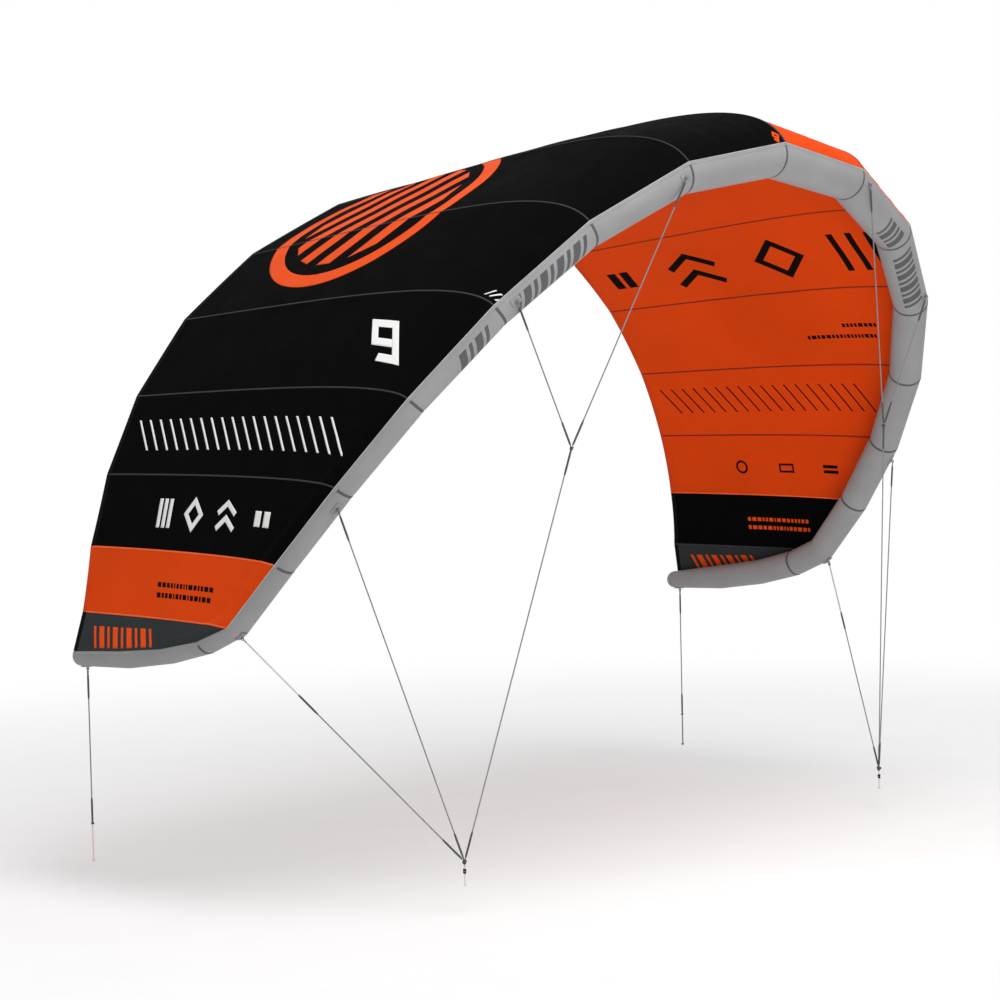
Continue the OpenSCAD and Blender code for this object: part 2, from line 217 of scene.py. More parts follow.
def clear(points, gap=CLOTH_GAP):
    """The points, with those inside the tube or closer to it than gap moved straight out."""
    p = points.copy()
    for j in range(LAST - 1, -1, -1):
        f = np.clip((p - JOINT[j]) @ SEGMENT[j] / LENGTH[j] ** 2, 0, 1)[..., None]
        away = p - (JOINT[j] + f * SEGMENT[j])
        far = np.linalg.norm(away, axis=-1, keepdims=True)
        depth = mix(RADIUS[j], RADIUS[j + 1], f) + gap - far
        p += np.maximum(depth, 0) * away / np.maximum(far, 1e-9)
    return p


def chord(u, t):
    """Chord lines of the cloth by the part's own formula, as (len(u), len(t), 3)."""
    u, t = np.asarray(u, float), np.asarray(t, float)[:, None]
    n, level = out_at(te_s(u)), np.maximum(0, np.cos(te_s(u) / ARC_R))
    a, d = start_at(u), place(te_s(u), te_y(u) - BAND_W) - te_inset(u)[:, None] * n
    c = np.linalg.norm(d - a, axis=-1)[:, None] * TE_FULLNESS
    b = (TE_SLOPE * np.maximum(0.2, level))[:, None]
    p = a + (FRONT_FULLNESS * level**FULLNESS_POWER + LEAST_FULLNESS)[:, None] * slope_at(u)
    q = d + c * (np.sin(b) * n - np.cos(b) * np.array([0, 1, 0]))
    a, p, q, d = (v[:, None] for v in (a, p, q, d))
    r = 1 - t
    return r**3 * a + 3 * r * r * t * p + 3 * r * t * t * q + t**3 * d


def panel_rows(i, across, t):
    """Points of canopy panel i at the shares `across` of its width, as (across, t, 3)."""
    f = np.asarray(across, float)
    if i == PANELS:
        return tip_rows(f, t)
    seams = chord([i - 1, i], t)
    ruled = mix(seams[0][None], seams[1][None], f[:, None, None])
    rows = mix(ruled, chord(i - 1 + f, t), ARC_SHARE)
    hollow = (1 - ARC_SHARE) * TE_SCALLOP * 4 * f * (1 - f)
    rows[..., 1] -= hollow[:, None] * np.asarray(t)[None] ** 2
    return clear(rows)


def along_y(line, y):
    """Points of a line at the given places y."""
    return np.stack([np.interp(y, line[:, 1], line[:, k]) for k in range(3)], -1)


def tip_rows(f, t):
    """Points of the last panel, which runs from the last seam to the bent tube's tip."""
    seam = chord([BEND], np.linspace(0, 1, 400))[0]
    tip = start_at(np.linspace(BEND, LAST, 400))
    y = mix(seam[0, 1] + 0.004, te_y(PANELS) - BAND_W, np.asarray(t, float))
    return clear(mix(along_y(seam, y)[None], along_y(tip, y)[None], f[:, None, None]))


# ---------------------------------------------------------------- camera, lights and floor

# Camera: azimuth, tilt below the horizon and roll in degrees; place; focal length in mm
CAMERA_AZIMUTH, CAMERA_TILT, CAMERA_ROLL = 48.175, 3.458, -1.276
CAMERA_PLACE = (-9.1053, -6.7174, -0.6263)
CAMERA_LENS = 104.78
SKY_LIGHT = 0.60
WHITE = (1, 1, 1, 1)
FLOOR_Z = -2.78
FLOOR_RADIUS = 9.0

# Lights: place, target, width and power
LIGHTS = {
    "key": ((-2.0, -2.5, 6.0), (0, 0.8, -0.8), 5.0, 470),
    "fill": ((-8.0, -7.0, 0.5), (0, 0.8, -1.0), 4.0, 75),
    "bounce": ((-0.7, -1.9, -2.3), (1.6, 1.0, -0.7), 1.8, 34),
}


def link(obj):
    bpy.context.scene.collection.objects.link(obj)
    return obj


def aim_z(direction):
    """Rotation that turns +Z onto a direction."""
    z = unit(np.array(direction, float))
    x = unit(np.cross([0, 1, 0] if abs(z[1]) < 0.9 else [1, 0, 0], z))
    return Matrix([x, np.cross(z, x), z]).transposed().to_4x4()


def make_camera():
    azimuth, tilt, roll = (math.radians(a) for a in (CAMERA_AZIMUTH, CAMERA_TILT, CAMERA_ROLL))
    level = np.array([math.cos(azimuth), -math.sin(azimuth), 0])
    ahead = np.array([math.sin(azimuth), math.cos(azimuth), 0])
    forward = ahead * math.cos(tilt) + DOWN * math.sin(tilt)
    upright = np.cross(level, forward)
    right = level * math.cos(roll) + upright * math.sin(roll)
    up = upright * math.cos(roll) - level * math.sin(roll)
    data = bpy.data.cameras.new("camera")
    data.sensor_width = 36
    data.lens = CAMERA_LENS
    data.clip_end = 200
    camera = link(bpy.data.objects.new("camera", data))
    turn = Matrix([right, up, -forward]).transposed().to_4x4()
    camera.matrix_world = Matrix.Translation(CAMERA_PLACE) @ turn
    bpy.context.scene.camera = camera


def area_light(name, stand, target, size, power):
    data = bpy.data.lights.new(name, "AREA")
    data.shape = "DISK"
    data.size = size
    data.energy = power
    light = link(bpy.data.objects.new(name, data))
    away = np.array(stand, float) - np.array(target, float)
    light.matrix_world = Matrix.Translation(stand) @ aim_z(away)
    light.visible_camera = False


def make_studio():
    """White surroundings that light the kite less than the camera sees, and three soft lights."""
    world = bpy.data.worlds.new("studio")
    bpy.context.scene.world = world
    bpy.context.scene.view_settings.view_transform = "Standard"
    world.use_nodes = True
    tree = world.node_tree
    sky = tree.nodes["Background"]
    backdrop = tree.nodes.new("ShaderNodeBackground")
    sky.inputs[0].default_value = backdrop.inputs[0].default_value = WHITE
    sky.inputs[1].default_value = SKY_LIGHT
    path = tree.nodes.new("ShaderNodeLightPath")
    choose = tree.nodes.new("ShaderNodeMixShader")
    sources = path.outputs["Is Camera Ray"], sky.outputs[0], backdrop.outputs[0]
    for source, socket in zip(sources, choose.inputs):
        tree.links.new(source, socket)
    tree.links.new(choose.outputs[0], tree.nodes["World Output"].inputs[0])
    for name, facts in LIGHTS.items():
        area_light(name, *facts)


def make_floor():
    rings = np.linspace(0, FLOOR_RADIUS, 24)[:, None, None]
    angle = np.linspace(0, 2 * math.pi, 97)[None, :, None]
    disc = np.concatenate([rings * np.cos(angle), rings * np.sin(angle), 0 * rings * angle], -1)
    build = Build()
    build.quads(build.add(disc + [0, 0.8, FLOOR_Z]), disc[..., :2])
    build.finish("floor", ["floor"], closed=False)


# ---------------------------------------------------------------- meshes

class Build:
    """Collects the faces of one piece, with a flat place in metres for every face corner."""

    def __init__(self, side=1):
        self.side, self.count = side, 0
        self.points, self.faces, self.uvs, self.slots = [], [], [], []

    def add(self, grid):
        """Adds a grid of points, mirrored for the left, and returns their numbers in its layout."""
        grid = np.asarray(grid, float) * [self.side, 1, 1]
        number = self.count + np.arange(np.prod(grid.shape[:-1])).reshape(grid.shape[:-1])
        self.points.append(grid.reshape(-1, 3))
        self.count += number.size
        return number

    def quads(self, number, uv, slot=0):
        corners = [(slice(None, -1), slice(None, -1)), (slice(None, -1), slice(1, None)),
                   (slice(1, None), slice(1, None)), (slice(1, None), slice(None, -1))]
        self.faces.append(np.stack([number[c] for c in corners], -1).reshape(-1, 4))
        self.uvs.append(np.stack([uv[c] for c in corners], -2).reshape(-1, 4, 2))
        self.slots.append(np.full(len(self.faces[-1]), slot))

    def skin(self, outer, inner, uv, ring=False, slot=0):
        """A closed sheet between two grids; a ring joins its last column to its first."""
        a, b = self.add(outer), self.add(inner)
        if ring:
            a, b = (np.concatenate([g, g[:, :1]], 1) for g in (a, b))
        self.quads(a, uv, slot)
        self.quads(b[::-1], uv[::-1], slot)
        for k in (0, -1):
            self.quads(np.stack([a[k], b[k]]), np.stack([uv[k], uv[k]]), slot)
            if not ring:
                self.quads(np.stack([a[:, k], b[:, k]]), np.stack([uv[:, k], uv[:, k]]), slot)

    def tube(self, path, radius, sides=12, slot=0, taper=0.0):
        """A round rope along a path, closed at both ends, thinner at the ends by taper."""
        path = np.asarray(path, float)
        heading = unit(np.gradient(path, axis=0))
        side = [unit(np.cross(heading[0], [0.3, 0.5, 0.8]))]
        for h in heading:
            side.append(unit(side[-1] - h * (side[-1] @ h)))
        side = np.array(side[1:])
        other = np.cross(heading, side)
        run = run_along(path)
        edge = np.minimum(run, run[-1] - run)
        r = radius * (1 - taper * np.exp(-edge / (1.5 * radius)))
        a = (np.arange(sides) * 2 * math.pi / sides)[None, :, None]
        spread = np.cos(a) * side[:, None] + np.sin(a) * other[:, None]
        rings = path[:, None] + r[:, None, None] * spread
        shrunk = [path[k] + 0.5 * radius * s * heading[k] + 0 * rings[k]
                  + 0.5 * r[k] * spread[k] for k, s in ((0, -1), (-1, 1))]
        rings = np.concatenate([shrunk[0][None], rings, shrunk[1][None]])
        run = np.concatenate([[-0.5 * radius], run, [run[-1] + 0.5 * radius]])
        number = self.add(rings)
        tips = self.add(np.array([path[0] - 0.6 * radius * heading[0],
                                  path[-1] + 0.6 * radius * heading[-1]]))
        number = np.concatenate([number, number[:, :1]], 1)
        around = np.linspace(0, 2 * math.pi * radius, sides + 1)
        uv = pair(around[None], run[:, None])
        self.quads(number, uv, slot)
        for k, tip in ((0, tips[0]), (-1, tips[1])):
            cap = np.stack([number[k], np.full(sides + 1, tip)])
            self.quads(cap, np.stack([uv[k], uv[k]]), slot)

    def sheet(self, middle, normal, lift, uv, slot=0):
        """A closed sheet that stands off both sides of a middle surface by lift."""
        over = lift * normal
        self.skin(middle + over, middle - over, uv, slot=slot)

    def finish(self, name, materials, closed=True):
        """Makes the object; a face that names a corner twice keeps it once."""
        mesh = bpy.data.meshes.new(name)
        faces, uvs = (np.concatenate(v).tolist() for v in (self.faces, self.uvs))
        kept = [list(dict.fromkeys(face)) for face in faces]
        mesh.from_pydata(np.concatenate(self.points).tolist(), [], kept)
        layer = mesh.uv_layers.new(name="flat")
        flat = [uv[face.index(k)] for face, uv, corners in zip(faces, uvs, kept) for k in corners]
        layer.data.foreach_set("uv", np.array(flat, np.float32).ravel())
        for material in materials:
            mesh.materials.append(M[material])
        mesh.polygons.foreach_set("material_index", np.concatenate(self.slots))
        mesh.polygons.foreach_set("use_smooth", [True] * len(mesh.polygons))
        if closed:
            work = bmesh.new()
            work.from_mesh(mesh)
            bmesh.ops.recalc_face_normals(work, faces=work.faces)
            work.to_mesh(mesh)
            work.free()
        mesh.update()
        return link(bpy.data.objects.new(name, mesh))

    def piece(self, name, materials, *nodes, body="kite", slot=None):
        """Makes the object, rides it on its body and hides the CAD nodes it stands for."""
        obj = self.finish(name, materials)
        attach(obj, body)
        if nodes:
            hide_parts(*nodes)
        return obj


def wave_mix(x, seed, count=6):
    """Smooth irregular waves of about one period per unit of x, from -1 to 1."""
    rng = np.random.default_rng(seed)
    pitch = 2 * math.pi * rng.uniform(0.5, 1.5, count)
    phase = rng.uniform(0, 2 * math.pi, count)
    x = np.asarray(x, float)[..., None]
    return np.sin(x * pitch + phase).sum(-1) / math.sqrt(2 * count)


# ---------------------------------------------------------------- materials

def rgb(r, g, b):
    """Screen colour from 0 to 255 as a linear colour."""
    return tuple(((c / 255 + 0.055) / 1.055) ** 2.4 if c > 10 else c / 255 / 12.92
                 for c in (r, g, b)) + (1.0,)


def scaled(colour, share):
    return tuple(c * share for c in colour[:3]) + (1.0,)


class Value:
    """What a node gives out; sums with values add nodes to the material."""

    def __init__(self, shader, node, output=0):
        self.shader, self.socket = shader, node.outputs[output]

    def __add__(self, other):
        return self.shader.math("ADD", self, other)

    def __sub__(self, other):
        return self.shader.math("SUBTRACT", self, other)

    def __mul__(self, other):
        return self.shader.math("MULTIPLY", self, other)

    def __abs__(self):
        return self.shader.math("ABSOLUTE", self)


class Shader:
    """A material's node tree, with short ways to add and join nodes."""

    def __init__(self, name):
        self.material = bpy.data.materials.new(name)
        self.material.use_nodes = True
        self.tree = self.material.node_tree
        self.surface = self.tree.nodes["Principled BSDF"]
        self.object_place = self.node("TexCoord").outputs["Object"]

    def node(self, kind):
        return self.tree.nodes.new("ShaderNode" + kind)

    def join(self, value, socket):
        """Sets a socket to a number or colour, or links it to a value or another socket."""
        if isinstance(value, Value):
            value = value.socket
        if isinstance(value, bpy.types.NodeSocket):
            self.tree.links.new(value, socket)
        else:
            socket.default_value = value

    def fill(self, node, values):
        for value, socket in zip(values, node.inputs):
            self.join(value, socket)
        return Value(self, node)

    def math(self, operation, a, b=0.0):
        node = self.node("Math")
        node.operation = operation
        return self.fill(node, (a, b))

    def highest(self, a, b):
        return self.math("MAXIMUM", a, b)

    def axes(self):
        """The two flat places, in metres, that the mesh gives to each face corner."""
        flat = self.node("UVMap")
        flat.uv_map = "flat"
        node = self.node("SeparateXYZ")
        self.join(flat.outputs[0], node.inputs[0])
        return Value(self, node, 0), Value(self, node, 1)

    def noise(self, scale, detail=3.0, rough=0.5):
        node = self.node("TexNoise")
        self.join(self.object_place, node.inputs["Vector"])
        node.inputs["Scale"].default_value = scale
        node.inputs["Detail"].default_value = detail
        node.inputs["Roughness"].default_value = rough
        return Value(self, node)

    def band(self, x, low, high, start=0.0, end=1.0):
        """Smooth step of x: start below low, end above high."""
        node = self.node("MapRange")
        node.interpolation_type = "SMOOTHSTEP"
        return self.fill(node, (x, low, high, start, end))

    def lines(self, x, pitch, width):
        """1 on soft lines of a width, one every pitch along x, and 0 between them."""
        part = self.math("FRACT", self.math("DIVIDE", x, pitch))
        return self.band(abs(part - 0.5), 0.0, width / pitch, 1.0, 0.0)

    def weave(self, a, b, pitch, width):
        return self.lines(a, pitch, width) * self.lines(b, pitch, width)

    def blend(self, share, a, b):
        node = self.node("Mix")
        node.data_type = "RGBA"
        for value, k in ((share, 0), (a, 6), (b, 7)):
            self.join(value, node.inputs[k])
        return Value(self, node, 2)

    def drift(self, x, colour, low, high):
        """A colour that drifts with a noise between two shares of itself."""
        return self.blend(self.band(x, 0.3, 0.7), scaled(colour, low), scaled(colour, high))

    def finish(self, colour, roughness, height, depth=0.0005, specular=0.25, sheen=0.0):
        self.join(colour, self.surface.inputs["Base Color"])
        self.join(roughness, self.surface.inputs["Roughness"])
        self.surface.inputs["Specular IOR Level"].default_value = specular
        self.surface.inputs["Sheen Weight"].default_value = sheen
        if height is not None:
            bump = self.node("Bump")
            bump.inputs["Distance"].default_value = depth
            self.join(height, bump.inputs["Height"])
            self.join(bump.outputs[0], self.surface.inputs["Normal"])
        return self.material


def cloth_material(name, colour, specular, roughness, thread=None):
    """Ripstop sailcloth: fine weave, a grid of thicker threads, soft creases and slight fading."""
    sh = Shader(name)
    s, y = sh.axes()
    grid = sh.highest(sh.lines(s, 0.005, 0.0006), sh.lines(y, 0.005, 0.0006))
    crease = sh.noise(9.0, 4.0, 0.6)
    faded = sh.drift(sh.noise(1.6, 2.0), colour, 0.94, 1.06)
    body = sh.blend(grid * 0.4, faded, thread or scaled(colour, 0.62))
    height = grid * 0.5 + sh.weave(s, y, 0.0008, 0.0005) * 0.3 + crease * 1.6
    rough = sh.band(crease, 0.25, 0.75, roughness - 0.06, roughness + 0.08)
    return sh.finish(body, rough, height, 0.0004, specular)


def heavy_cloth_material(name, colour):
    """Tube cloth: a tight coated weave with faint scuffs and the pull of the pressure."""
    sh = Shader(name)
    s, y = sh.axes()
    scuff = sh.band(sh.noise(14.0, 5.0, 0.65), 0.5, 0.8)
    pull = sh.noise(5.0, 3.0)
    worn = sh.blend(scuff * 0.12, sh.drift(pull, colour, 0.95, 1.05), scaled(colour, 1.35))
    height = sh.weave(s, y, 0.0016, 0.0009) * 0.4 + pull * 1.5
    return sh.finish(worn, sh.band(scuff, 0.0, 1.0, 0.5, 0.66), height, 0.0004, 0.35, 0.04)


def stitched_material(name, colour, thread, rows, specular=0.25):
    """Sewn strip: across is measured from its middle; each row of stitches has its own place."""
    sh = Shader(name)
    across, along = sh.axes()
    pitch, share = 0.004, 0.4
    stitch = None
    for row in rows:
        line = sh.band(abs(across - row), 0.0003, 0.0008, 1.0, 0.0)
        dash = line * sh.lines(along, pitch, share * pitch)
        stitch = dash if stitch is None else sh.highest(stitch, dash)
    soil = sh.noise(11.0, 4.0)
    sewn = sh.blend(stitch * 0.85, sh.drift(soil, colour, 0.9, 1.1), thread)
    height = sh.weave(across, along, 0.0012, 0.0007) * 0.3 + stitch
    return sh.finish(sewn, sh.band(soil, 0.2, 0.8, 0.55, 0.72), height, specular=specular)


def rope_material(name, colour, dark, radius):
    """Braided line: crossing strands that run round and along the rope, with soiling; painted shade
    darkens the hollows between the strands.
    """
    sh = Shader(name)
    around, along = sh.axes()
    pitch = 2 * math.pi * radius / 4
    strand = sh.highest(*(sh.lines(way, pitch, 0.45 * pitch)
                          for way in (around + along, around - along)))
    soil = sh.noise(24.0, 3.0)
    # painted shade: between the raised strands the rope takes the darker colour dark
    body = sh.blend(strand, dark, sh.blend(sh.band(soil, 0.35, 0.7), colour, scaled(colour, 0.82)))
    return sh.finish(body, sh.band(soil, 0.2, 0.8, 0.6, 0.8), strand, 0.0003)


def webbing_material(name, colour, thread):
    """Woven strap: ribs along it, fine picks across, and a little fuzz; painted shade darkens the
    hollows between the ribs.
    """
    sh = Shader(name)
    across, along = sh.axes()
    rib = sh.lines(across, 0.0016, 0.0007)
    fuzz = sh.noise(60.0, 3.0)
    # painted shade: the hollows between the raised ribs get 0.6 of the colour
    base = sh.blend(rib, scaled(colour, 0.6), colour)
    body = sh.blend(sh.band(fuzz, 0.5, 0.8) * 0.2, base, thread)
    height = rib + sh.lines(along, 0.0011, 0.0005) * 0.5
    return sh.finish(body, sh.band(fuzz, 0.2, 0.8, 0.62, 0.78), height, sheen=0.1)


def patch_material():
    """Sewn-on patch with a box and a cross of stitches."""
    sh = Shader("tab_patch_grey")
    along, around = sh.axes()
    a, b = abs(along), abs(around)
    box = sh.highest(a - 0.018, b - 0.010)
    cross = (a - b * 1.8) * 0.49
    inside = sh.band(box, -0.0004, 0.0004, 1.0, 0.0)
    edge, middle = (sh.band(abs(line), 0.0004, 0.001, 1.0, 0.0) for line in (box, cross))
    stitch = sh.highest(edge, middle * inside) * sh.lines(along + around, 0.003, 0.0014)
    base = sh.blend(sh.noise(40.0), scaled(TUBE_GREY, 0.8), TUBE_GREY)
    sewn = sh.blend(stitch, base, rgb(196, 197, 198))
    return sh.finish(sewn, 0.62, sh.weave(along, around, 0.0014, 0.0008) * 0.4 + stitch)


def plastic_material(name, colour, roughness=0.42):
    """Moulded plastic: fine pitting, soft colour drift and light scratches on the outer faces."""
    sh = Shader(name)
    scratch = sh.band(sh.noise(140.0, 6.0, 0.8), 0.55, 0.75)
    base = sh.drift(sh.noise(18.0, 3.0), colour, 0.93, 1.04)
    body = sh.blend(scratch * 0.15, base, scaled(colour, 1.2))
    rough = sh.band(scratch, 0.0, 1.0, roughness, roughness + 0.2)
    return sh.finish(body, rough, sh.noise(900.0, 2.0) + scratch * -0.4, 0.0001, 0.5)


def film_material(name):
    """Thin bladder film: cloudy, slightly glossy, with faint fold marks."""
    sh = Shader(name)
    fold = sh.band(sh.noise(30.0, 6.0, 0.7), 0.5, 0.62)
    cloud = sh.band(sh.noise(12.0, 4.0), 0.3, 0.7)
    base = sh.blend(cloud, rgb(205, 205, 200), rgb(226, 226, 221))
    body = sh.blend(fold * 0.3, base, rgb(240, 240, 238))
    return sh.finish(body, sh.band(fold, 0.0, 1.0, 0.22, 0.4), fold, 0.0003, 0.5)


def floor_material():
    """Pale studio floor that fades into the white surroundings."""
    sh = Shader("floor_pale")
    x, y = sh.axes()
    radius = sh.math("SQRT", x * x + y * y)
    sh.finish(sh.blend(sh.noise(3.0, 4.0), rgb(243, 243, 243), rgb(250, 250, 250)), 0.9, None,
              specular=0.1)
    fade = sh.band(radius, 0.35 * FLOOR_RADIUS, 0.8 * FLOOR_RADIUS, 0.35, 1.0)
    see_through = sh.node("BsdfTransparent")
    faded = sh.fill(sh.node("MixShader"), (fade, sh.surface.outputs[0], see_through.outputs[0]))
    sh.join(faded, sh.tree.nodes["Material Output"].inputs[0])
    return sh.material


BLACK, ORANGE, TIP_GREY = rgb(5, 5, 6), rgb(230, 71, 6), rgb(50, 54, 55)
TUBE_GREY = rgb(146, 146, 147)

# Places of the stitch rows across a strip, in metres from its middle
SEAM_ROWS, TAPE_ROWS = (-0.0016, 0.0016), (-0.0028, 0.0028)
HEM_ROWS = (-0.008, -0.0055, 0.0055, 0.008)

M = {
    "cloth_black": cloth_material("cloth_black", BLACK, 0.03, 0.8, rgb(19, 19, 20)),
    "cloth_orange": cloth_material("cloth_orange", ORANGE, 0.07, 0.68),
    "cloth_grey": cloth_material("cloth_tip_grey", TIP_GREY, 0.08, 0.7),
    "tube": heavy_cloth_material("tube_cloth_grey", TUBE_GREY),
    "tape": stitched_material("seam_tape_grey", rgb(84, 86, 88), rgb(124, 126, 128), TAPE_ROWS),
    "seam_dark": stitched_material("seam_on_black", rgb(44, 44, 46), rgb(84, 84, 86), SEAM_ROWS),
    "seam_brown": stitched_material("seam_on_orange", rgb(112, 30, 8), rgb(160, 56, 20), SEAM_ROWS),
    "seam_orange": stitched_material("seam_orange", rgb(250, 92, 26), rgb(255, 150, 100),
                                     SEAM_ROWS),
    "hem_black": stitched_material("hem_black", rgb(9, 9, 10), rgb(50, 50, 52), HEM_ROWS, 0.05),
    "hem_orange": stitched_material("hem_orange", rgb(222, 68, 12), rgb(130, 36, 10), HEM_ROWS,
                                    0.08),
    "piping": stitched_material("piping_light", rgb(188, 189, 190), rgb(160, 161, 162), (0.0,)),
    "print_white": cloth_material("print_white", rgb(240, 240, 238), 0.1, 0.5),
    "print_orange": cloth_material("print_orange", rgb(236, 80, 16), 0.08, 0.55),
    "print_black": cloth_material("print_black", rgb(12, 8, 7), 0.04, 0.7),
    "print_tube": heavy_cloth_material("print_tube_grey", rgb(80, 82, 84)),
    "webbing": webbing_material("webbing_grey", rgb(134, 135, 136), rgb(190, 190, 191)),
    "patch": patch_material(),
    # The second colour of each rope is painted shade for the hollows between its strands
    "line": rope_material("line_grey", rgb(146, 147, 149), rgb(98, 99, 101), 0.0025),
    "leader": rope_material("leader_white", rgb(226, 226, 226), rgb(184, 184, 184), 0.0025),
    "sleeve": rope_material("sleeve_dark", rgb(92, 93, 95), rgb(52, 53, 55), 0.004),
    "knot_black": rope_material("knot_black", rgb(34, 34, 36), rgb(14, 14, 15), 0.003),
    "pale_red": rope_material("line_pale_red", rgb(240, 214, 214), rgb(216, 176, 176), 0.003),
    "bladder": film_material("bladder_film"),
    "valve": plastic_material("valve_white", rgb(206, 207, 206)),
    "cap": plastic_material("cap_grey", rgb(72, 74, 77)),
    "floor": floor_material(),
}


# ---------------------------------------------------------------- bridle: lines, knots, pigtails

# The route's points, as the part has them
LINE_JOINT = np.array([1.005, 0.175, -1.085])
FRONT_JOINT = np.array([1.335, 0.450, -2.590])
TABS = [(7, 0.0), (5, 0.056), (2, 0.400), (1, 0.036)]
REAR_TAB = (LAST - 1, LENGTH[LAST - 1] - 0.024)
LINE_D, SLEEVE_D, PIGTAIL_D = 0.005, 0.008, 0.006
SLEEVE_LEN, SLEEVE_IN = 0.100, 0.003
REAR_LEN, REAR_PIGTAIL_LEN, FRONT_PIGTAIL_LEN = 0.590, 0.150, 0.092
EYE_OUT, EYE_R, EYE_WIRE = 0.009, 0.006, 0.0016
KNOT_R, JOINT_KNOT_R, REAR_KNOT_R, END_KNOT_R = 0.0115, 0.009, 0.005, 0.007
EYE_LOOP = 0.010
LOOP_R, LEADER_R, LEADER_LEN = 0.0016, 0.0031, 0.270
BEAD_PLACE, BEAD_R, BEAD_APART = 0.035, 0.0072, 0.009
ROPE_GAP = 0.0005       # a rope ends this far from the ball that its knot fills
TAB_HALF = (0.022, 0.014)


def tab_frame(tab):
    """Place on the tube's axis, heading, forward direction and tube radius at a bridle tab."""
    j, past = tab
    heading = DIR[j] if past == 0 else HEAD[j]
    front = unit(-BACK[j] + heading * (BACK[j] @ heading))
    radius = mix(RADIUS[j], RADIUS[j + 1], past / LENGTH[j])
    return JOINT[j] + past * heading, heading, front, radius


def tab_eye(tab):
    centre, _, front, radius = tab_frame(tab)
    return centre + (radius + EYE_OUT) * front


REAR_HANG = tab_eye(REAR_TAB) + DOWN * (EYE_R + EYE_WIRE + REAR_KNOT_R + 0.0004)
REAR_END = REAR_HANG + DOWN * REAR_LEN
REAR_REACH = EYE_R + EYE_WIRE + REAR_KNOT_R + 0.001     # its loop ends inside the knot


def straight(a, b, step=0.02):
    count = max(16, int(np.linalg.norm(b - a) / step))
    return mix(a, b, np.linspace(0, 1, count)[:, None])


def rope(name, path, radius, side, body, material, *nodes, sides=12, slot="line_sleeve", taper=0.0):
    """A round piece along a path; its path is laid out for the right wing."""
    build = Build(side)
    build.tube(path, radius, sides, taper=taper)
    return build.piece(name, [material], *nodes, body=body, slot=slot)


def sleeve(name, a, b, side, body, material="sleeve", radius=SLEEVE_D / 2):
    return rope(name, straight(a, b, 0.004), radius, side, body, material, sides=16, taper=0.35)


def knot(name, centre, radius, side, body, material, *nodes, seed=1):
    """A rope knot: a trefoil of rope pulled tight inside a ball of the given radius."""
    turn = np.linspace(0, 2 * math.pi, 97)[:-1]
    curve = np.stack([np.sin(turn) + 2 * np.sin(2 * turn), np.cos(turn) - 2 * np.cos(2 * turn),
                      -1.35 * np.sin(3 * turn)], -1)
    thick = 0.36 * radius
    spin = np.array(Matrix.Rotation(0.9 * seed, 3, (0.4, 0.5, 0.77)))
    curve = curve * (radius - thick) / 3.0 @ spin.T + centre
    closed = np.concatenate([curve, curve[:2]])
    return rope(name, closed, thick, side, body, material, *nodes)


def eye_loop(name, eye, towards, side, width=0.0042, reach=EYE_LOOP + EYE_R + 0.006):
    """The end of a line, looped through a tab's eye and back to its own sleeve or knot."""
    d = unit(towards - eye)
    across = unit(np.cross(d, [0.2, 0.3, 0.93]))
    turn = np.linspace(0.12, 2 * math.pi - 0.12, 40)[:, None]
    middle = eye + d * (reach / 2 - 0.002)
    path = middle + d * (reach / 2) * np.cos(turn) + across * width * np.sin(turn)
    return rope(name, path, LOOP_R, side, "kite", "line", sides=8, slot="line_core")


def cord_piece(name, path, diameter, side, body, node, material, slot, **facts):
    """A rope along the route it is given, made as one piece."""
    obj = rope(name, path, diameter / 2, side, body, material, node, slot=slot)
    flipped = path * [side, 1, 1]


def bridle_line(wing, side, name, a, b, short_a, short_b, leader=0.0, top="kite"):
    """Taut line from a to b that stops short of both, with a sleeve over each spliced end."""
    d = unit(b - a)
    p, q = a + short_a * d, b - short_b * d
    first = leader + SLEEVE_IN + (EYE_LOOP if top == "tab" else 0)
    top_ends = p + first * d, p + (first + SLEEVE_LEN) * d
    low_ends = q - (SLEEVE_IN + SLEEVE_LEN) * d, q - SLEEVE_IN * d
    extras = [sleeve(f"{name}_sleeve_top_{wing}", *top_ends, side, "kite"),
              sleeve(f"{name}_sleeve_low_{wing}", *low_ends, side, "kite")]
    if top == "tab":
        extras.append(eye_loop(f"{name}_loop_{wing}", a, b, side))
    if leader:
        extras.append(sleeve(f"{name}_leader_{wing}", p + EYE_LOOP * d, p + first * d, side, "kite",
                             "leader", LEADER_R))
    cord_piece(f"{name}_rope_{wing}", straight(p, q), LINE_D, side, "kite", f"{name}_{wing}",
               "line", "line_core", far_end="object", lay="taut", with_pieces=extras)


def make_bridle(wing, side):
    short = EYE_R + EYE_WIRE + 0.0003
    for i, tab in enumerate(TABS, 1):
        foot, foot_short = (FRONT_JOINT, KNOT_R) if i <= 2 else (LINE_JOINT, JOINT_KNOT_R)
        leader = LEADER_LEN if i == 1 else 0.0
        bridle_line(wing, side, f"bridle_line_{i}", tab_eye(tab), foot, short,
                    foot_short + ROPE_GAP, leader, "tab")
    bridle_line(wing, side, "bridle_main", LINE_JOINT, FRONT_JOINT, 0.0, KNOT_R + ROPE_GAP)
    knot(f"bridle_joint_knot_{wing}", LINE_JOINT, JOINT_KNOT_R, side, "kite", "sleeve", seed=2)
    knot(f"front_knot_rope_{wing}", FRONT_JOINT, KNOT_R, side, f"front_link_{wing}", "sleeve",
         f"front_knot_{wing}", seed=3)


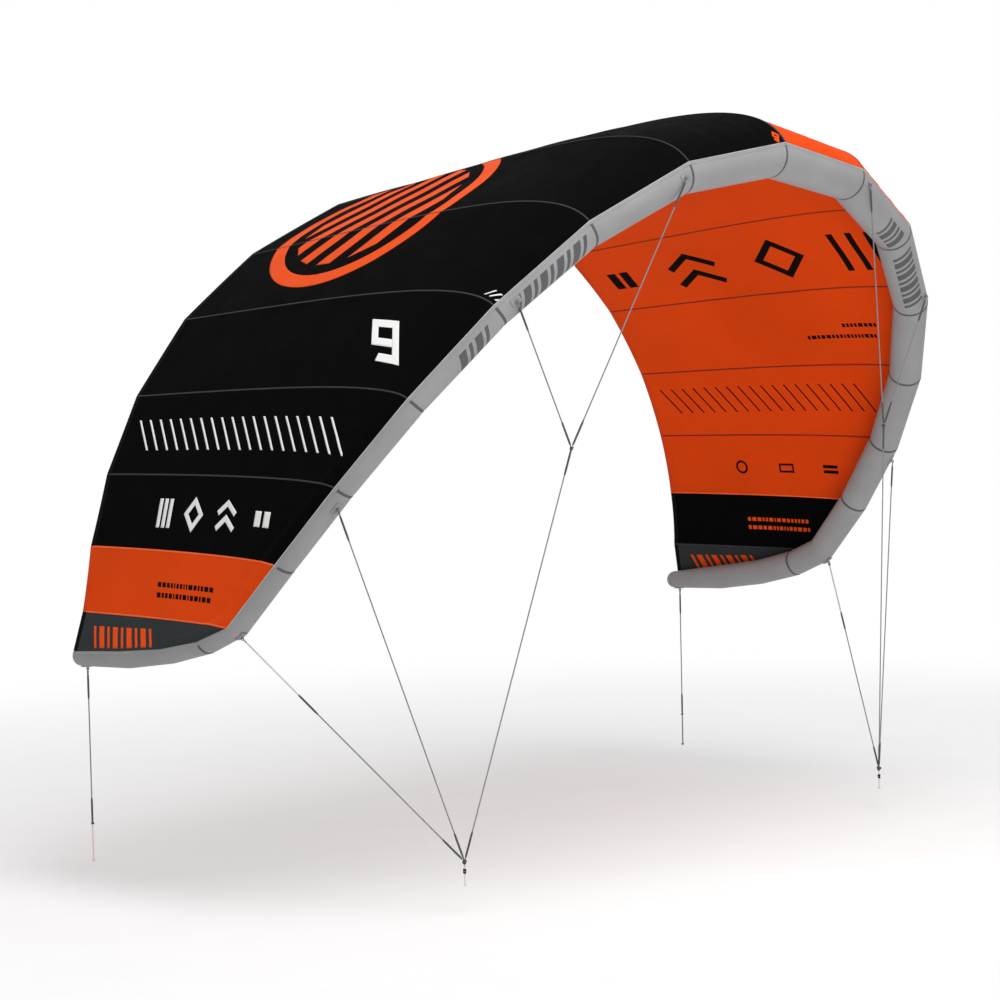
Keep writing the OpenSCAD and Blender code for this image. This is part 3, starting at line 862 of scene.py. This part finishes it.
def make_pigtail(wing, side, name, top, length, gap, body, material, slot, bead=0.0):
    """Free rope end: it hangs straight down and ends in a knot; a bead is a knot part way down."""
    low = top + DOWN * (length - END_KNOT_R)
    extras = [knot(f"{name}_end_knot_{wing}", low, END_KNOT_R, side, body, material, seed=4)]
    if bead:
        for k in (0, 1):
            place = top + DOWN * (bead + (k - 0.5) * BEAD_APART)
            extras.append(knot(f"{name}_bead_{wing}_{k}", place, BEAD_R, side, body, "knot_black",
                               seed=7 + k))
    path = straight(top + DOWN * gap, low)
    cord_piece(f"{name}_rope_{wing}", path, PIGTAIL_D, side, body, f"{name}_{wing}", material, slot,
               far_end="knot", lay="hanging", with_pieces=extras)


def make_hanging_lines(wing, side):
    make_pigtail(wing, side, "front_pigtail", FRONT_JOINT, FRONT_PIGTAIL_LEN, KNOT_R + ROPE_GAP,
                 f"front_tail_{wing}", "leader", "line_core", bead=BEAD_PLACE)
    pale = ("pale_red", "line_pale_red") if side < 0 else ("line", "line_core")
    make_pigtail(wing, side, "rear_pigtail", REAR_END, REAR_PIGTAIL_LEN, END_KNOT_R + ROPE_GAP,
                 f"rear_tail_{wing}", *pale)
    knot(f"rear_knot_rope_{wing}", REAR_HANG, REAR_KNOT_R, side, f"rear_link_{wing}", "sleeve",
         f"rear_knot_{wing}", seed=5)
    eye_loop(f"rear_loop_{wing}", tab_eye(REAR_TAB), REAR_HANG, side, 0.0026, REAR_REACH)
    body = f"rear_rope_{wing}"
    top = REAR_HANG + DOWN * (REAR_KNOT_R - 0.0015)
    sleeves = [("top", top + DOWN * 0.002), ("low", REAR_END - DOWN * SLEEVE_LEN)]
    extras = [sleeve(f"rear_sleeve_{end}_{wing}", p, p + DOWN * SLEEVE_LEN, side, body)
              for end, p in sleeves]
    extras.append(knot(f"rear_end_knot_{wing}", REAR_END, END_KNOT_R, side, body, "sleeve", seed=6))
    cord_piece(f"rear_line_rope_{wing}", straight(top, REAR_END), LINE_D, side, body,
               f"rear_line_{wing}", "line", "line_core", far_end="knot", lay="hanging",
               with_pieces=extras)


def sewn_patch(build, centre, heading, front, radius, slant, half):
    """Patch that follows the tube, raised a little inside its sewn edge."""
    along = np.linspace(-1, 1, 13)[:, None]
    across = np.linspace(-1, 1, 9)[None] + 0 * along
    uv = pair(along * TAB_HALF[0], across * TAB_HALF[1])
    a, b = along * half[0], across * half[1]
    raised = (np.abs(along) < 0.9) * (np.abs(across) < 0.85)
    around = np.cross(heading, front)
    grids = []
    for lift in (0.0016 + 0.0007 * raised, -0.0004 + 0 * b):
        r = radius + np.abs(slant * a) + lift
        turn = b / radius
        grids.append(centre + a[..., None] * heading + (r * np.cos(turn))[..., None] * front
                     + (r * np.sin(turn))[..., None] * around)
    build.skin(*grids, uv)


def make_tabs():
    """Sewn patches on the tube, each with a webbing loop that stands off it for a line."""
    build = Build()
    turn = np.linspace(0, 2 * math.pi, 49)[:, None]
    for build.side in WINGS.values():
        for tab in TABS + [REAR_TAB]:
            centre, heading, front, radius = tab_frame(tab)
            slant = (RADIUS[tab[0] + 1] - RADIUS[tab[0]]) / LENGTH[tab[0]]
            sewn_patch(build, centre, heading, front, radius, slant, TAB_HALF)
            ring = tab_eye(tab) + EYE_R * (np.cos(turn) * heading + np.sin(turn) * front)
            build.tube(np.concatenate([ring, ring[1:3]]), EYE_WIRE, 10, slot=1)
    build.piece("bridle_tab_patches", ["patch", "webbing"], "bridle_tabs", slot="webbing")


# Pump leash loop, left of the centre on the back of the tube
LEASH_X, LEASH_R, WEB_T, WEB_W, LEASH_LIFT = 0.110, 0.008, 0.0016, 0.020, 0.0017
LEASH_HALF = (0.018, 0.013)
SELVEDGE, STRIP_HALF = 0.0003, 0.0165


def make_leash_loop():
    """Wide webbing ring that stands on a short strip of the same webbing, sewn to a patch."""
    heading = HEAD[0]
    back = unit(np.cross(np.cross(heading, [0, 1, 0]), heading))
    down = np.cross(back, heading)
    share = LEASH_X / LENGTH[0]
    centre = mix(JOINT[0], JOINT[1], share)
    radius = mix(RADIUS[0], RADIUS[1], share)
    build = Build(WINGS["left"])
    sewn_patch(build, centre, heading, back, radius, 0.0, LEASH_HALF)

    def strap(out, along, w):
        """Points at distances out of the tube and along it, across the webbing's width."""
        out, along = (np.asarray(v)[..., None] for v in (out, along))
        return centre + out * back + along * heading + (w * WEB_W / 2)[..., None] * down

    w = np.linspace(-1, 1, 9)[:, None]
    edge = SELVEDGE * w**6
    a = np.arange(72) * 2 * math.pi / 72
    middle = radius + LEASH_LIFT + LEASH_R + WEB_T - 0.0004
    ring = [strap(middle + r * np.sin(a), r * np.cos(a), w)
            for r in (LEASH_R + WEB_T - edge, LEASH_R + edge)]
    turned = np.linspace(0, 2 * math.pi * LEASH_R, len(a) + 1)[None]
    build.skin(*ring, pair(w * WEB_W / 2, turned), ring=True, slot=1)
    run = np.linspace(-STRIP_HALF, STRIP_HALF, 23)[None]
    curl = 0.0006 * (np.abs(run) / STRIP_HALF) ** 8
    top = strap(radius + 0.0031 - edge - curl, run + 0 * w, w)
    under = strap(radius + 0.0015 + 0 * edge, run + 0 * w, w)
    build.skin(top, under, pair(w * WEB_W / 2, run), slot=1)
    build.piece("leash_webbing_loop", ["patch", "webbing"], "pump_leash_loop", slot="webbing")


# ---------------------------------------------------------------- leading edge tube

TUBE_SIDES = 96
TUBE_TURN = -np.arange(TUBE_SIDES) * 2 * math.pi / TUBE_SIDES
TAPED = [1, 2, 3, 4, 5, 6, 8]
CREASED = [7, 9, 10]
COVER_T = 0.0012


# The cover near a joint: how deep a tape draws it in, and how high its puckers stand
TAPE_DRAW, TAPE_PUCKER, CREASE_PUCKER = 0.0016, 0.0011, 0.0016


def tube_profile(x, a, seed):
    """How far the inflated cover stands off its plain ring: drawn in and puckered at joints."""
    a = np.asarray(a, float) % (2 * math.pi)
    j, f = split(x)
    f = f[..., 0]
    lift = np.zeros(np.broadcast(x, a).shape)
    for k, away in ((j, f * LENGTH[j]), (j + 1, (1 - f) * LENGTH[j])):
        taped = np.isin(k, TAPED + [0])
        creased = np.isin(k, CREASED)
        lift = lift - np.where(taped, TAPE_DRAW * np.exp(-((away / 0.012) ** 2)), 0)
        strength = np.where(taped, TAPE_PUCKER, np.where(creased, CREASE_PUCKER, 0))
        ripple = wave_mix(a * 2.6, seed + 3, 7) * wave_mix(a * 1.1 + x, seed + 5, 4)
        inner = 0.35 + 0.65 * np.clip(-np.sin(a), 0, 1)
        fade = np.exp(-away / 0.05) * (1 - np.exp(-((away / 0.009) ** 2)))
        lift = lift + strength * fade * inner * ripple * np.sin(a / 2) ** 2
    slow = wave_mix(x * 1.7 + a / 3, seed + 9, 4) * wave_mix(a * 0.4, seed + 11, 3)
    return lift + 0.0004 * slow * np.sin(a / 2) ** 2


def along_tube(x):
    return np.interp(x, np.arange(LAST + 1), ALONG)


def around_tube(radius):
    return np.linspace(0, 2 * math.pi * radius, TUBE_SIDES + 1)


def cover_seed(i, side):
    """Seed of the folds in section i of the cover."""
    return 40 + 2 * i + side


def make_tube(wing, side):
    for i in range(1, PANELS + 1):
        low, high = {BEND: (BEND - 1, BEND + 1), PANELS: (BEND + 1, LAST)}.get(i, (i - 1, i))
        step = 1 - np.cos(np.linspace(0, math.pi, 13))
        parts = [low + k + step / 2 for k in range(high - low)]
        x = np.sort(np.concatenate(parts + [np.linspace(low, high, 22 * (high - low) + 1)]))
        x = x[np.concatenate([[True], np.diff(x) > 1e-3])]
        x[-1] = high
        lift = tube_profile(x[:, None], TUBE_TURN[None], cover_seed(i, side))
        outer, inner = (ring_point(x[:, None], TUBE_TURN[None], h) for h in (lift, lift - COVER_T))
        build = Build(side)
        uv = pair(around_tube(RADIUS[low])[None], along_tube(x)[:, None])
        build.skin(outer, inner, uv, ring=True)
        node = f"le_tube_{wing}_{i}"
        obj = build.piece(f"tube_cover_{wing}_{i}", ["tube"], node, slot="tube_cloth")


def beside_joint(j, offset, lift):
    """Ring of points at a signed distance past a tube joint; before the middle it is mirrored."""
    if j == 0:
        wing = [math.copysign(1, offset), 1, 1]
        return ring_point(abs(offset) / LENGTH[0], TUBE_TURN, lift) * wing
    return ring_point(j + offset / LENGTH[j if offset >= 0 else j - 1], TUBE_TURN, lift)


def make_ring_tapes():
    """Sewn tapes over the joints of the tube cover; the middle one spans both wings."""
    offsets, domed = 0.011 * DOME_PLACE, -0.0012 + 0.0011 * DOME_RISE
    uv = pair(offsets[:, None], around_tube(0.08)[None])
    build = Build()
    for build.side, joints in ((-1, TAPED), (1, TAPED + [0])):
        for j in joints:
            outer = np.array([beside_joint(j, o, h) for o, h in zip(offsets, domed)])
            inner = np.array([beside_joint(j, o, -0.0022) for o in offsets])
            build.skin(outer, inner, uv, ring=True)
    build.piece("ring_seam_tapes", ["tape"], "tube_seam_tapes", slot="seam_tape")


def make_tip_caps():
    """Rounded ends of the tube, gathered into a small sewn disc."""
    tilt = np.linspace(0, math.pi / 2, 26)[:, None]
    ball_r = TUBE_END_R - 0.0004
    pleat = 0.0007 * np.sin(tilt * 2) ** 2 * np.sin(18 * TUBE_TURN[None])
    r = ball_r * np.cos(tilt) + pleat
    rise = 0.98 * ball_r * np.sin(tilt) + 0 * pleat
    spread = round_dir(LAST, TUBE_TURN)[None]
    outer = JOINT[LAST] + r[..., None] * spread + rise[..., None] * DIR[LAST]
    inner = outer - COVER_T * unit(outer - JOINT[LAST] + 1e-9)
    for grid in (outer, inner):
        grid[-1] = grid[-1].mean(0) + 0.0006 * spread[0]
    build = Build()
    for build.side in WINGS.values():
        build.skin(outer, inner, pair(around_tube(TUBE_END_R)[None], tilt * TUBE_END_R), ring=True)
    build.piece("tube_end_caps", ["tube"], "tip_caps", slot="tube_cloth")


def make_bladder():
    """The sock inside the cover, from tip to tip, necked down and welded at both ends."""
    room, film = 0.0042, 0.0008
    a = -np.arange(32) * 2 * math.pi / 32
    x = np.linspace(0, LAST, 221)
    necks = [(0.010, 0.93), (0.018, 0.79), (0.024, 0.68), (0.028, 0.56), (0.030, 0.38),
             (0.031, 0.2)]
    grids = []
    for inset in (room, room + film):
        half = ring_point(x[:, None], a[None], -inset)
        tail = [JOINT[LAST] + n * DIR[LAST] + ((TUBE_END_R - room) * share - inset + room)
                * round_dir(LAST, a) for n, share in necks]
        half = np.concatenate([half, np.array(tail)])
        grids.append(np.concatenate([half[:0:-1] * [-1, 1, 1], half]))
    uv = np.zeros((len(grids[0]), 33, 2))
    uv[..., 0] = np.linspace(0, 0.5, 33)
    uv[..., 1] = np.linspace(0, 5.5, len(grids[0]))[:, None]
    build = Build()
    build.skin(grids[0], grids[1], uv, ring=True)
    obj = build.piece("inner_bladder", ["bladder"], "bladder", slot="bladder_film")


# ---------------------------------------------------------------- canopy

ACROSS, CHORD_STEPS = 44, 150
CLOTH_HALF = 0.0004
SEAM_W, SEAM_T = 0.0065, 0.0009
TIP_PANEL_W = 0.18      # typical width of the last panel
CHORD_T = np.linspace(0, 1, CHORD_STEPS) ** 1.25
panels = {}


def grid_normals(p, outward):
    """Unit normals of a grid of points, on the outward side."""
    n = np.cross(np.gradient(p, axis=0), np.gradient(p, axis=1))
    n = n / np.maximum(np.linalg.norm(n, axis=-1, keepdims=True), 1e-12)
    n = n * np.sign((n * outward).sum(-1, keepdims=True) + 1e-9)
    return n


def pucker(i, across, s, y, run, te_away, side):
    """Height of the small folds: along chord seams, off the tube seam, and slow waves between."""
    seed = 100 * i + 7 * side
    panel_w = TIP_PANEL_W if i == PANELS else FIRST_PANEL_W - PANEL_STEP * i
    width = np.minimum(across, 1 - across) * panel_w
    held = 1 - np.exp(-((width / 0.012) ** 2))
    free = held * (1 - np.exp(-((run / 0.015) ** 2))) * (1 - np.exp(-((te_away / 0.03) ** 2)))
    seam = 0.0011 * np.exp(-width / 0.035) * wave_mix(y / 0.055, seed + 1)
    front = 0.0024 * np.exp(-run / 0.10) * wave_mix(s / 0.075, seed + 2) * free
    slow = 0.0028 * wave_mix(s / 0.35 + y / 0.9, seed + 3, 4) * wave_mix(y / 0.7, seed + 4, 4)
    rear = 0.0016 * np.exp(-te_away / 0.12) * wave_mix(s / 0.16, seed + 5)
    calm = 0.35 if i == PANELS else 1.0
    return calm * free * (seam + front + slow + rear)


def canopy_panel(i, side):
    across = np.linspace(0, 1, ACROSS)
    p = panel_rows(i, across, CHORD_T)
    edge = p[:, -1] + [0, BAND_W - 0.001, 0]
    p = np.concatenate([p, mix(p[:, -1], edge, 0.5)[:, None], edge[:, None]], 1)
    u = i - 1 + across
    s = np.broadcast_to((seam_s(u) if i < PANELS else te_s(u))[:, None], p.shape[:2])
    y = p[..., 1]
    run = np.array([run_along(line) for line in p])
    normal = grid_normals(p, out_at(s))
    te_away = run[:, -1:] - run
    if i == PANELS:
        run = np.minimum(run, (1 - across[:, None]) * 0.2)
    height = pucker(i, across[:, None], s, y, run, te_away, side)
    p = clear(p + height[..., None] * normal)
    panels[side, i] = p, grid_normals(p, out_at(s))
    return p, pair(s, y)


def make_canopy(wing, side):
    main, last = ("black", "orange") if side < 0 else ("orange", "black")
    for i, colour in enumerate([f"cloth_{c}" for c in [main] * 6 + [last, "grey"]], 1):
        p, uv = canopy_panel(i, side)
        normal = panels[side, i][1]
        build = Build(side)
        build.sheet(p, normal, CLOTH_HALF, uv)
        obj = build.piece(f"canopy_panel_{wing}_{i}", [colour], f"canopy_{wing}_{i}", slot=colour)
        ab, ad = p[1:, :-1] - p[:-1, :-1], p[:-1, 1:] - p[:-1, :-1]


def panel_at(side, i, across, y):
    """Point and normal of a panel's middle surface at shares of its width and at places y."""
    p, normal = panels[side, i]
    across, y = (np.asarray(v, float).ravel() for v in np.broadcast_arrays(across, y))
    g = np.clip(across, 0, 1) * (len(p) - 1)
    k = np.minimum(g.astype(int), len(p) - 2)
    f = (g - k)[:, None]
    rows = mix(p[k, :, 1], p[k + 1, :, 1], f)
    m = np.clip((rows < y[:, None]).sum(1) - 1, 0, rows.shape[1] - 2)
    pick = np.arange(len(m))
    e = (y - rows[pick, m]) / (rows[pick, m + 1] - rows[pick, m])
    e = np.clip(e, 0, 1)[:, None]
    out = []
    for field in (p, normal):
        near = mix(field[k, m], field[k, m + 1], e)
        far = mix(field[k + 1, m], field[k + 1, m + 1], e)
        out.append(mix(near, far, f))
    return out[0], unit(out[1])


def cloth_at(side, s, y):
    """Point and normal of the canopy at flat places (s, y), ahead of the tip panel."""
    s, y = np.broadcast_arrays(np.asarray(s, float), np.asarray(y, float))
    u = np.clip(seam_u(s), 0, BEND - 1e-6)
    i = np.floor(u).astype(int) + 1
    point, normal = np.zeros(s.shape + (3,)), np.zeros(s.shape + (3,))
    for k in np.unique(i):
        here = i == k
        point[here], normal[here] = panel_at(side, k, u[here] - (k - 1), y[here])
    return point, normal


def seam_strip(build, j, slot=0):
    """Flat-felled chord seam between panels j and j + 1, raised on both faces."""
    offsets = np.array([-0.5, -0.42, -0.15, 0, 0.15, 0.42, 0.5]) * SEAM_W
    lift = CLOTH_HALF + np.array([0.1, 0.8, 1, 1, 1, 0.8, 0.1]) * SEAM_T
    line, n_low = panels[build.side, j][0][-1], panels[build.side, j][1][-1]
    if j < BEND:
        n_high, step_high = panels[build.side, j + 1][1][0], panels[build.side, j + 1][0][1] - line
    else:
        n_high, step_high = n_low, line - panels[build.side, j][0][-2]
    step_low = line - panels[build.side, j][0][-2]
    along = np.gradient(line, axis=0)
    rows = []
    for o in offsets:
        n, step = (n_high, step_high) if o > 0 else (n_low, step_low)
        away = unit(np.cross(along, n))
        away = away * np.sign((away * step).sum(-1, keepdims=True))
        rows.append((line + o * away, unit(n_low + n_high) if o == 0 else n))
    point = np.stack([r[0] for r in rows], 1)
    normal = np.stack([r[1] for r in rows], 1)
    run = run_along(line)
    uv = pair(offsets[None], run[:, None])
    build.sheet(point, normal, lift[None, :, None], uv, slot)


def make_seams():
    """Chord seams of both wings, one piece for each wing and the seam at the centre."""
    kinds = {"left": ["seam_dark"] * 5 + ["seam_orange", "seam_orange"],
             "right": ["seam_brown"] * 5 + ["seam_orange", "seam_dark"]}
    for wing, side in WINGS.items():
        build = Build(side)
        names = sorted(set(kinds[wing]))
        for j, kind in enumerate(kinds[wing], 1):
            seam_strip(build, j, names.index(kind))
        build.piece(f"chord_seams_{wing}", names, slot="seam_tape")
    build = Build()
    line = panels[1, 1][0][0]
    normal = unit(panels[1, 1][1][0] * [0, 1, 1])
    offsets = np.array([-0.5, -0.42, 0, 0.42, 0.5]) * 0.012
    lift = CLOTH_HALF + np.array([0.1, 0.8, 1, 0.8, 0.1]) * SEAM_T
    point = line[:, None] + offsets[None, :, None] * np.array([1, 0, 0])
    uv = pair(offsets[None], line[:, 1:2])
    build.sheet(point, normal[:, None], lift[None, :, None], uv)
    build.piece("chord_seam_centre", ["seam_dark"], slot="seam_tape")


def make_hem():
    """Doubled and sewn band along the trailing edge, in the colour of the panels beside it."""
    parts = {"left": ("black", -1, range(1, 7)), "left_orange": ("orange", -1, range(7, 8)),
             "left_tip": ("black", -1, range(8, 9)), "right_orange": ("orange", 1, range(1, 7)),
             "right_black": ("black", 1, range(7, 9))}
    places = np.array([1.0, 0.96, 0.75, 0.5, 0.25, 0.04, 0.0])
    lift = CLOTH_HALF + np.array([0.1, 0.8, 1, 1, 1, 1, 0.6]) * 0.0008
    for name, (colour, side, numbers) in parts.items():
        edge = np.concatenate([panels[side, i][0][:, -1] for i in numbers])
        normal = np.concatenate([panels[side, i][1][:, -4] for i in numbers])
        keep = np.concatenate([[True], np.linalg.norm(np.diff(edge, axis=0), axis=1) > 1e-6])
        edge, normal = edge[keep], normal[keep]
        point = edge[:, None] - places[None, :, None] * np.array([0, BAND_W, 0]) + [0, 0.001, 0]
        run = run_along(edge)
        uv = pair((places[None] - 0.5) * BAND_W, run[:, None])
        build = Build(side)
        build.sheet(point, normal[:, None], lift[None, :, None], uv)
        obj = build.piece(f"trailing_hem_{name}", [f"hem_{colour}"], "trailing_edge_band",
                          slot=f"cloth_{colour}")


def make_front_seam(wing, side):
    """Piping and its sewing strip where the cloth starts on the tube."""
    x = np.linspace(0, BEND, 560)
    path = ring_point(x, leave_at(x) + 0.03, 0.0014)
    rope(f"front_piping_{wing}", path, 0.0016, side, "kite", "piping", sides=10, slot="seam_tape")
    x = np.linspace(0.003, LAST - 0.02, 900)
    offsets = np.linspace(-0.5, 0.5, 7) * 0.016
    radius = np.interp(x, range(LAST + 1), RADIUS)[:, None]
    angle = leave_at(x)[:, None] + (offsets[None] + 0.006) / radius
    outer, inner = (ring_point(x[:, None], angle, h) for h in (0.0006, -0.0006))
    build = Build(side)
    build.skin(outer, inner, pair(offsets[None], along_tube(x)[:, None]))
    build.piece(f"front_sewing_strip_{wing}", ["tube"], slot="tube_cloth")


# ---------------------------------------------------------------- prints on the cloth

PRINT_LIFT = CLOTH_HALF + 0.00035
PRINT_STEP = 0.007


class Prints:
    """Printed shapes of one wing, collected by ink; each shape shows on both faces of the cloth."""

    def __init__(self, wing, side):
        self.wing, self.side, self.builds = wing, side, {}

    def lay(self, ink, grid, panel=None):
        """Lays a grid of flat places on the cloth; with a panel, places are (share of width, y)."""
        s, y = grid[..., 0], grid[..., 1]
        if panel is None:
            point, normal = cloth_at(self.side, s, y)
        else:
            point, normal = (v.reshape(s.shape + (3,)) for v in panel_at(self.side, panel, s, y))
        self.builds.setdefault(ink, Build(self.side)).sheet(point, normal, PRINT_LIFT, grid)

    def quad(self, ink, a, b, c, d, panel=None):
        """A four-cornered shape with corners in order."""
        a, b, c, d = (np.array(v, float) for v in (a, b, c, d))
        if panel is None:
            span = max(np.linalg.norm(b - a), np.linalg.norm(c - d)), max(
                np.linalg.norm(d - a), np.linalg.norm(c - b))
            n, m = (max(2, int(v / PRINT_STEP) + 2) for v in span)
        else:
            n, m = 8, 10
        f = np.linspace(0, 1, n)[:, None, None]
        g = np.linspace(0, 1, m)[None, :, None]
        self.lay(ink, mix(mix(a, b, f), mix(d, c, f), g), panel)

    def stroke(self, ink, points, width, closed=False):
        """A line of even width through points, with mitred corners."""
        p = np.array(points, float)
        if closed:
            p = np.concatenate([p[-1:], p, p[:2]])
        else:
            p = np.concatenate([2 * p[:1] - p[1:2], p, 2 * p[-1:] - p[-2:-1]])
        step = unit(np.diff(p, axis=0))
        side = np.stack([-step[:, 1], step[:, 0]], -1)
        mitre = side[:-1] + side[1:]
        mitre = mitre / (mitre * side[1:]).sum(-1, keepdims=True)
        mid = p[1:-1]
        for k in range(len(mid) - 1):
            (a, b), (e, f) = mid[k:k + 2], 0.5 * width * mitre[k:k + 2]
            self.quad(ink, a - e, b - f, b + f, a + e)

    def ring(self, ink, centre, inner, outer):
        turn = np.linspace(0, 2 * math.pi, max(8, int(600 * outer)))
        r = np.linspace(inner, outer, max(2, int((outer - inner) / PRINT_STEP) + 2))[:, None]
        grid = np.stack([centre[0] + r * np.cos(turn), centre[1] + r * np.sin(turn)], -1)
        self.lay(ink, grid)

    def finish(self):
        for ink, build in self.builds.items():
            colour = {"white": "grey"}.get(ink, ink)
            build.piece(f"print_{ink}_{self.wing}", [f"print_{ink}"], slot=f"cloth_{colour}")


def from_frame(origin, right, down):
    """Function from local places (right, down) to flat places."""
    origin, right, down = (np.array(v, float) for v in (origin, right, down))
    return lambda points: [origin + a * right + b * down for a, b in points]


def digit_nine(prints, ink, place, width):
    """Size numeral in a plain squared form: one bent stroke."""
    path = [(1.0, 0.56), (0.0, 0.56), (0.0, 0.0), (1.0, 0.0), (1.0, 1.0), (0.12, 1.0)]
    prints.stroke(ink, place(path), width)


def slanted_bars(prints, ink, first, step, count, across, slant, width):
    """Row of even bars; each runs `across` in s and leans by `slant` in y."""
    for k in range(count):
        s0, y0 = first[0], first[1] + k * step
        a, b = (s0, y0), (s0 + across, y0 + slant)
        c, d = (s0 + across, y0 + slant + width), (s0, y0 + width)
        prints.quad(ink, a, b, c, d)


def striped_disc(prints, ink, centre, radius):
    """Emblem: a ring round five slanted bars that keep clear of it."""
    prints.ring(ink, centre, 0.86 * radius, radius)
    reach = 0.74 * radius
    turn = math.radians(28)
    along, over = np.array([[math.cos(turn), math.sin(turn)], [-math.sin(turn), math.cos(turn)]])
    for k in range(-2, 3):
        mid = 0.30 * k * radius
        half = 0.075 * radius
        a, b = (math.sqrt(max(reach**2 - (mid + h) ** 2, 0)) for h in (-half, half))
        low, high = centre + (mid - half) * over, centre + (mid + half) * over
        prints.quad(ink, low - a * along, low + a * along, high + b * along, high - b * along)


def mark_row(prints, ink, top, height, marks, width):
    """Row of plain marks: bars, a diamond, chevrons and squares, each (kind, start y, end y)."""
    for kind, y0, y1 in marks:
        place = from_frame((top, y0), (0, y1 - y0), (height, 0))
        if kind == "bars":
            for a in (0.08, 0.5, 0.92):
                prints.stroke(ink, place([(a, 0.0), (a, 1.0)]), width)
        elif kind == "diamond":
            corners = place([(0.5, 0.04), (0.96, 0.5), (0.5, 0.96), (0.04, 0.5)])
            prints.stroke(ink, corners, width, closed=True)
        elif kind == "chevrons":
            for b in (0.0, 0.5):
                corners = place([(0.05, b + 0.42), (0.5, b + 0.06), (0.95, b + 0.42)])
                prints.stroke(ink, corners, width)
        else:
            for a in (0.05, 0.58):
                prints.quad(ink, *place([(a, 0.25), (a + 0.36, 0.25), (a + 0.36, 0.75), (a, 0.75)]))


def block_rows(prints, ink, tops, height, start, end, seed):
    """Rows of small blocks of uneven length, as a line of small print would look from afar."""
    rng = np.random.default_rng(seed)
    for top in tops:
        y, step = start, math.copysign(1, end - start)
        while (end - y) * step > 0.012:
            run = min(rng.uniform(0.007, 0.024), abs(end - y))
            end_y, low = y + step * run, top + height
            prints.quad(ink, (top, y), (low, y), (low, end_y), (top, end_y))
            y = end_y + step * 0.007


def tip_bars(prints, ink):
    """Slanted bars of two widths across the tip panel."""
    y = 1.875
    for k in range(9):
        run = 0.030 if k % 2 else 0.014
        corners = [(0.35, y), (0.93, y - 0.03), (0.93, y - 0.03 - run), (0.35, y - run)]
        prints.quad(ink, *corners, panel=PANELS)
        y -= run + 0.020


def make_left_prints(prints):
    striped_disc(prints, "orange", (0.90, 1.235), 0.50)
    nine = from_frame((1.632, 0.690), (0.010, -0.112), (0.138, -0.072))
    digit_nine(prints, "white", nine, 0.030)
    small = from_frame((0.030, -0.040), (-0.014, -0.013), (0.022, -0.018))
    digit_nine(prints, "orange", small, 0.009)
    slanted_bars(prints, "white", (2.004, 1.834), -0.062, 19, 0.130, -0.105, 0.012)
    marks = [("bars", 1.570, 1.497), ("diamond", 1.410, 1.315), ("chevrons", 1.226, 1.115),
             ("squares", 1.012, 0.918)]
    mark_row(prints, "white", 2.326, 0.110, marks, 0.020)
    slanted_bars(prints, "white", (1.452, 0.205), -0.020, 3, 0.030, 0.032, 0.006)
    block_rows(prints, "black", (2.632, 2.668), 0.017, 1.517, 1.180, 5)
    tip_bars(prints, "orange")


def make_right_prints(prints):
    marks = [("bars", 0.345, 0.570), ("diamond", 0.750, 0.980), ("chevrons", 1.180, 1.440),
             ("squares", 1.640, 1.765)]
    mark_row(prints, "black", 1.185, 0.220, marks, 0.032)
    block_rows(prints, "black", (1.685,), 0.018, 0.740, 0.560, 6)
    block_rows(prints, "black", (1.740,), 0.018, 0.940, 0.570, 8)
    slanted_bars(prints, "black", (1.985, 1.843), -0.062, 18, 0.130, -0.080, 0.008)
    prints.ring("black", (2.390, 1.505), 0.022, 0.032)
    box = [(2.375, 1.225), (2.375, 1.295), (2.408, 1.295), (2.408, 1.225)]
    prints.stroke("black", box, 0.009, closed=True)
    for s in (2.372, 2.396):
        prints.quad("black", (s, 0.985), (s + 0.014, 0.985), (s + 0.014, 1.062), (s, 1.062))
    block_rows(prints, "orange", (2.624, 2.660), 0.017, 1.517, 1.180, 7)
    tip_bars(prints, "orange")


def make_tube_print(wing, side, start, end, middle, spread):
    """Row of slanted bars of two widths on the front of the tube, clear of the seam tapes."""
    build = Build(side)
    f, g = np.linspace(0, 1, 9)[:, None], np.linspace(0, 1, 15)[None]
    angle = math.radians(middle) + math.radians(spread) * (2 * g - 1) + 0 * f
    x, k = start, 0
    while x < end:
        j = int(x)
        width, gap, slant = (v / LENGTH[j] for v in (0.034 if k % 2 else 0.016, 0.016, 0.030))
        if j + 0.03 < x and x + width + slant < j + 0.985:
            place = x + width * f + slant * g
            lift = tube_profile(place, angle, cover_seed(j + 1, side))
            outer, inner = (ring_point(place, angle, lift + h) for h in (0.0004, -0.0004))
            build.skin(outer, inner, np.stack([place * 0.4, angle * 0.07], -1))
        x += width + gap
        k += 1
    build.piece(f"tube_print_{wing}", ["print_tube"], slot="seam_tape")


def make_prints():
    left, right = Prints("left", -1), Prints("right", 1)
    make_left_prints(left)
    make_right_prints(right)
    left.finish()
    right.finish()
    make_tube_print("left", -1, 2.08, 3.42, 195, 29)
    make_tube_print("right", 1, 1.60, 2.96, 225, 34)


# ---------------------------------------------------------------- run

make_camera()
make_studio()
for wing, side in WINGS.items():
    make_bridle(wing, side)
    make_hanging_lines(wing, side)
for wing, side in WINGS.items():
    make_tube(wing, side)
    make_canopy(wing, side)
    make_front_seam(wing, side)
make_ring_tapes()
make_tip_caps()
make_bladder()
make_seams()
make_hem()
make_tabs()
make_leash_loop()
make_prints()
make_floor()
for name, material in (("valve_body", "valve"), ("valve_cap", "cap")):
    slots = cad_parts[name].material_slots
    for k in range(len(slots)):
        slots[k].material = M[material]
